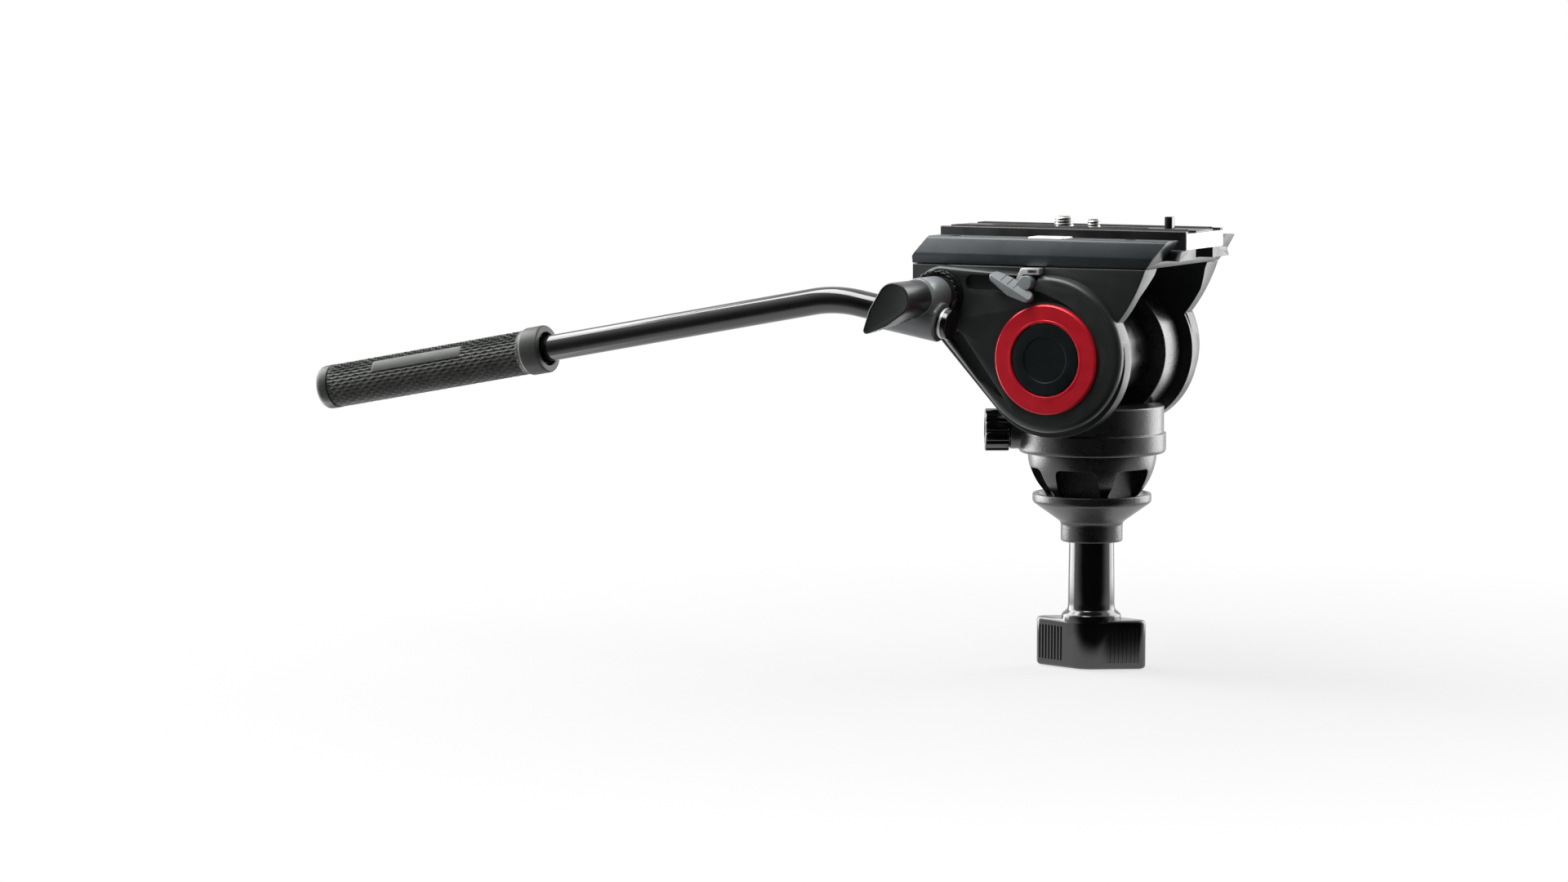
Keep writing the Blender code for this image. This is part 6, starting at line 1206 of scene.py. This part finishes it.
class MakeBarClamp(bpy.types.Operator):
    """Makes the wing knob that clamps the pan bar"""
    bl_idname = "video_head.bar_clamp"
    bl_label = "Bar clamp knob"

    def execute(self, context):
        place = on_side(NEAR, ROSETTE_AT)
        turn = Matrix.Rotation(math.radians(226), 4, "Z")
        hub = bar(0.0080, 0.0741, 0.0982, edge=0.0006, foot=0.0006)
        circles = []
        for x, radius in ((0, 0.0079), (0.0095, 0.0059), (0.0195, 0.0016)):
            circles += hoops(x, 0, radius, 0.0744, 0.0985, 0.0006)
        wing = belted(circles)
        inner = 0.0071
        sweep = prism([(inner, 0.0711), (0.0225, 0.0711), (0.0225, 0.0945), (0.0195, 0.0945),
                       (inner, 0.0781)], -0.012, 0.012,
                      Matrix(((1, 0, 0, 0), (0, 0, 1, 0), (0, 1, 0, 0), (0, 0, 0, 1))))
        wing = carved(wing, sweep)
        ribs = []
        for i in range(9):
            share = i / 8
            at = Vector((inner + share * 0.0105, 0.0070 - share * 0.0044, 0.0790 + share * 0.0140))
            ribs.append(box((-0.0004, -0.0016, -0.0040), (0.0004, 0.0016, 0.0030), Matrix.Translation(at)))
        floor, over = 0.0980, 0.1010
        face = belted([(0, 0, 0.0072, floor), (0.0095, 0, 0.0052, floor), (0.0190, 0, 0.0010, floor),
                       (0, 0, 0.0078, over), (0.0095, 0, 0.0058, over), (0.0190, 0, 0.0016, over)])
        knob = joined(hub, wing)
        knob = carved(knob, face, bar(0.0031, 0.0711, 0.0884, sides=48), gathered(*ribs))
        softened(knob, 0.0003, 2)
        stand_in("bar_clamp_knob", settled(knob, place @ turn), slot="side_moulding")
        return {"FINISHED"}


class MakeInnerPieces(bpy.types.Operator):
    """Gives the stack, axle, bearings, springs and hidden screws their finishes"""
    bl_idname = "video_head.inner_pieces"
    bl_label = "Inner pieces"

    nodes = (
        "pan_spindle", "pan_brake_drum", "pan_bearing", "spindle_nut", "clamp_stud", "knob_insert",
        "pan_drag_cartridge", "counterbalance_drum", "counterbalance_spring", "tilt_axle",
        "tilt_bearing_near", "tilt_bearing_far", "pan_lock_shoe", "pan_lock_screw",
        "near_drag_cartridge", "far_drag_cartridge", "tilt_brake_pad", "plate_lock_shaft",
        "tilt_lock_screw", "guide_pin_spring", "bar_clamp_bolt", "ball_screw_1", "ball_screw_2",
        "ball_screw_3",
    )

    def execute(self, context):
        for node in self.nodes:
            bm = bmesh.new()
            bm.from_mesh(frame["nodes"][node].data)
            tidied(bm)
            stand_in(node, softened(bm, 0.0002, 2))
        return {"FINISHED"}


class MakeStudio(bpy.types.Operator):
    """Sets the camera, the floor, the white surround and the soft lamps"""
    bl_idname = "video_head.studio"
    bl_label = "Studio"

    def execute(self, context):
        studio = context.scene.studio
        self.aim_camera(studio)
        self.lay_floor()
        self.light_surround(studio)
        for name, setting, size, place in LAMPS:
            self.hang_lamp(name, getattr(studio, setting), size, place)
        context.scene.view_settings.view_transform = "Standard"
        return {"FINISHED"}

    def aim_camera(self, studio):
        """The camera that the head is seen with, turned by the settings' two angles."""
        data = bpy.data.cameras.new("camera")
        data.lens = studio.lens
        data.clip_start = 0.05
        data.clip_end = 60
        camera = bpy.data.objects.new("camera", data)
        camera.location = studio.place
        level = math.cos(studio.elevation)
        back = Vector((math.sin(studio.azimuth) * level, -math.cos(studio.azimuth) * level,
                       math.sin(studio.elevation)))
        camera.rotation_euler = (-back).to_track_quat("-Z", "Y").to_euler()
        bpy.context.scene.collection.objects.link(camera)
        bpy.context.scene.camera = camera

    def lay_floor(self):
        """A floor that looks pale by the head and white farther out, but throws little light back."""
        bm = bmesh.new()
        bmesh.ops.create_grid(bm, x_segments=1, y_segments=1, size=14)
        bmesh.ops.translate(bm, verts=bm.verts, vec=(0, 0, CAD_BOX[0].z - 0.0005))
        floor = as_object("floor", bm)
        material = bpy.data.materials.new("pale_floor")
        material.use_nodes = True
        tree = material.node_tree
        shader = tree.nodes["Principled BSDF"]
        place = new_node(tree, "TexCoord").outputs["Object"]
        haze = new_node(tree, "TexNoise", {"Vector": place, "Scale": 3.0})
        tone = new_node(tree, "MapRange", {"Value": haze.outputs["Fac"], "To Min": 0.76, "To Max": 0.84})
        tree.links.new(tone.outputs["Result"], shader.inputs["Roughness"])
        pale = blended(tree, haze.outputs["Fac"], (0.42, 0.42, 0.42, 1), (0.46, 0.46, 0.46, 1))
        ways = new_node(tree, "LightPath").outputs
        shown = blended(tree, ways["Is Camera Ray"], (0.06, 0.06, 0.06, 1), pale)
        tree.links.new(shown, shader.inputs["Base Color"])
        shader.inputs["Specular IOR Level"].default_value = 0.1
        away = new_node(tree, "VectorMath", {0: place}, operation="LENGTH").outputs["Value"]
        far = new_node(tree, "MapRange", {"Value": away, "From Min": 0.12, "From Max": 0.50, "To Min": 0.72,
                                          "To Max": 1.0}, interpolation_type="SMOOTHSTEP")
        seen = new_node(tree, "Math", {0: ways["Is Camera Ray"], 1: far.outputs["Result"]},
                        operation="MULTIPLY").outputs[0]
        white = new_node(tree, "Emission", {"Strength": 1.0})
        floor_look = new_node(tree, "MixShader", {0: seen, 1: shader.outputs[0], 2: white.outputs[0]})
        # In the head's glossy surfaces the floor glows nearby and mirrors the lamps farther out
        way = new_node(tree, "VectorMath", {0: place}, operation="NORMALIZE").outputs["Vector"]
        glow = new_node(tree, "Emission", {"Strength": self.glow(tree, way, 0.25, 0.75)})
        polish = new_node(tree, "BsdfGlossy", {"Color": (0.9, 0.9, 0.9, 1), "Roughness": 0.03})
        beyond = new_node(tree, "MapRange", {"Value": away, "From Min": 0.25, "From Max": 0.50},
                          interpolation_type="SMOOTHSTEP").outputs["Result"]
        mirror = new_node(tree, "MixShader", {0: beyond, 1: glow.outputs[0], 2: polish.outputs[0]})
        reflected = new_node(tree, "Math", {0: ways["Is Glossy Ray"], 1: ways["Is Transmission Ray"]},
                             operation="MAXIMUM").outputs[0]
        mixed = new_node(tree, "MixShader", {0: reflected, 1: floor_look.outputs[0], 2: mirror.outputs[0]})
        tree.links.new(mixed.outputs[0], tree.nodes["Material Output"].inputs["Surface"])
        floor.data.materials.append(material)

    def glow(self, tree, way, start, end):
        """What a glossy surface mirrors of the surround: white, but dark ahead on the near side."""
        reach = new_node(tree, "VectorMath", {0: way, 1: NEAR_AND_FRONT}, operation="DOT_PRODUCT")
        level = new_node(tree, "MapRange", {"Value": reach.outputs["Value"], "From Min": start,
                                            "From Max": end, "To Min": 1.0, "To Max": 0.0},
                         interpolation_type="SMOOTHSTEP")
        return level.outputs["Result"]

    def light_surround(self, studio):
        """A surround that is white to look at, lights softly from all round and glows in gloss."""
        world = bpy.data.worlds.new("surround")
        bpy.context.scene.world = world
        world.use_nodes = True
        tree = world.node_tree
        way = new_node(tree, "TexCoord").outputs["Generated"]
        ways = new_node(tree, "LightPath").outputs
        reflected = new_node(tree, "Math", {0: ways["Is Glossy Ray"], 1: ways["Is Transmission Ray"]},
                             operation="MAXIMUM").outputs[0]
        glow = self.glow(tree, way, -0.1, 0.7)
        lit = new_node(tree, "Mix", {0: reflected, 2: studio.fill, 3: glow}, data_type="FLOAT").outputs[0]
        strength = new_node(tree, "Mix", {0: ways["Is Camera Ray"], 2: lit, 3: 1.0}, data_type="FLOAT")
        background = tree.nodes["Background"]
        background.inputs["Color"].default_value = (1, 1, 1, 1)
        tree.links.new(strength.outputs[0], background.inputs["Strength"])

    def hang_lamp(self, name, power, size, place):
        """A rectangular lamp that points at the head."""
        data = bpy.data.lights.new(name, "AREA")
        data.shape = "RECTANGLE"
        data.size, data.size_y = size
        data.energy = power
        lamp = bpy.data.objects.new(name, data)
        lamp.location = place
        aim = LAMP_AIM - Vector(place)
        lamp.rotation_euler = aim.to_track_quat("-Z", "Y").to_euler()
        bpy.context.scene.collection.objects.link(lamp)


class VideoHeadPanel(bpy.types.Panel):
    """Lists the operators that dress the head"""
    bl_idname = "VIEW3D_PT_video_head"
    bl_label = "Video head"
    bl_space_type = "VIEW_3D"
    bl_region_type = "UI"
    bl_category = "Video head"

    def draw(self, context):
        """A button for each operator, and below them the settings."""
        for maker in MAKERS:
            self.layout.operator(maker.bl_idname)
        for group in (context.scene.head_sizes, context.scene.head_colours, context.scene.studio):
            column = self.layout.column()
            for name in group.__annotations__:
                column.prop(group, name)


GROUPS = (HeadColours, HeadSizes, StudioSettings)
MAKERS = (
    MakeSideHousings, MakeDragSets, MakeReceiver, MakeCameraPlate, MakePlateLock, MakeTiltLock,
    MakePanHousing, MakePanLock, MakeHalfBall, MakeBowlClamp, MakeTieDownKnob, MakeBarHolder,
    MakePanBar, MakeGrip, MakeBarClamp, MakeInnerPieces, MakeStudio,
)


def register():
    """Adds the classes and the scene's three groups of settings."""
    for kind in GROUPS + MAKERS + (VideoHeadPanel,):
        bpy.utils.register_class(kind)
    bpy.types.Scene.head_colours = PointerProperty(type=HeadColours)
    bpy.types.Scene.head_sizes = PointerProperty(type=HeadSizes)
    bpy.types.Scene.studio = PointerProperty(type=StudioSettings)


def unregister():
    """Takes away what register adds."""
    del bpy.types.Scene.studio
    del bpy.types.Scene.head_sizes
    del bpy.types.Scene.head_colours
    for kind in reversed(GROUPS + MAKERS + (VideoHeadPanel,)):
        bpy.utils.unregister_class(kind)


def main():
    """Runs every operator in order."""
    register()
    for maker in MAKERS:
        group, action = maker.bl_idname.split(".")
        getattr(getattr(bpy.ops, group), action)()


if __name__ == "__main__":
    main()
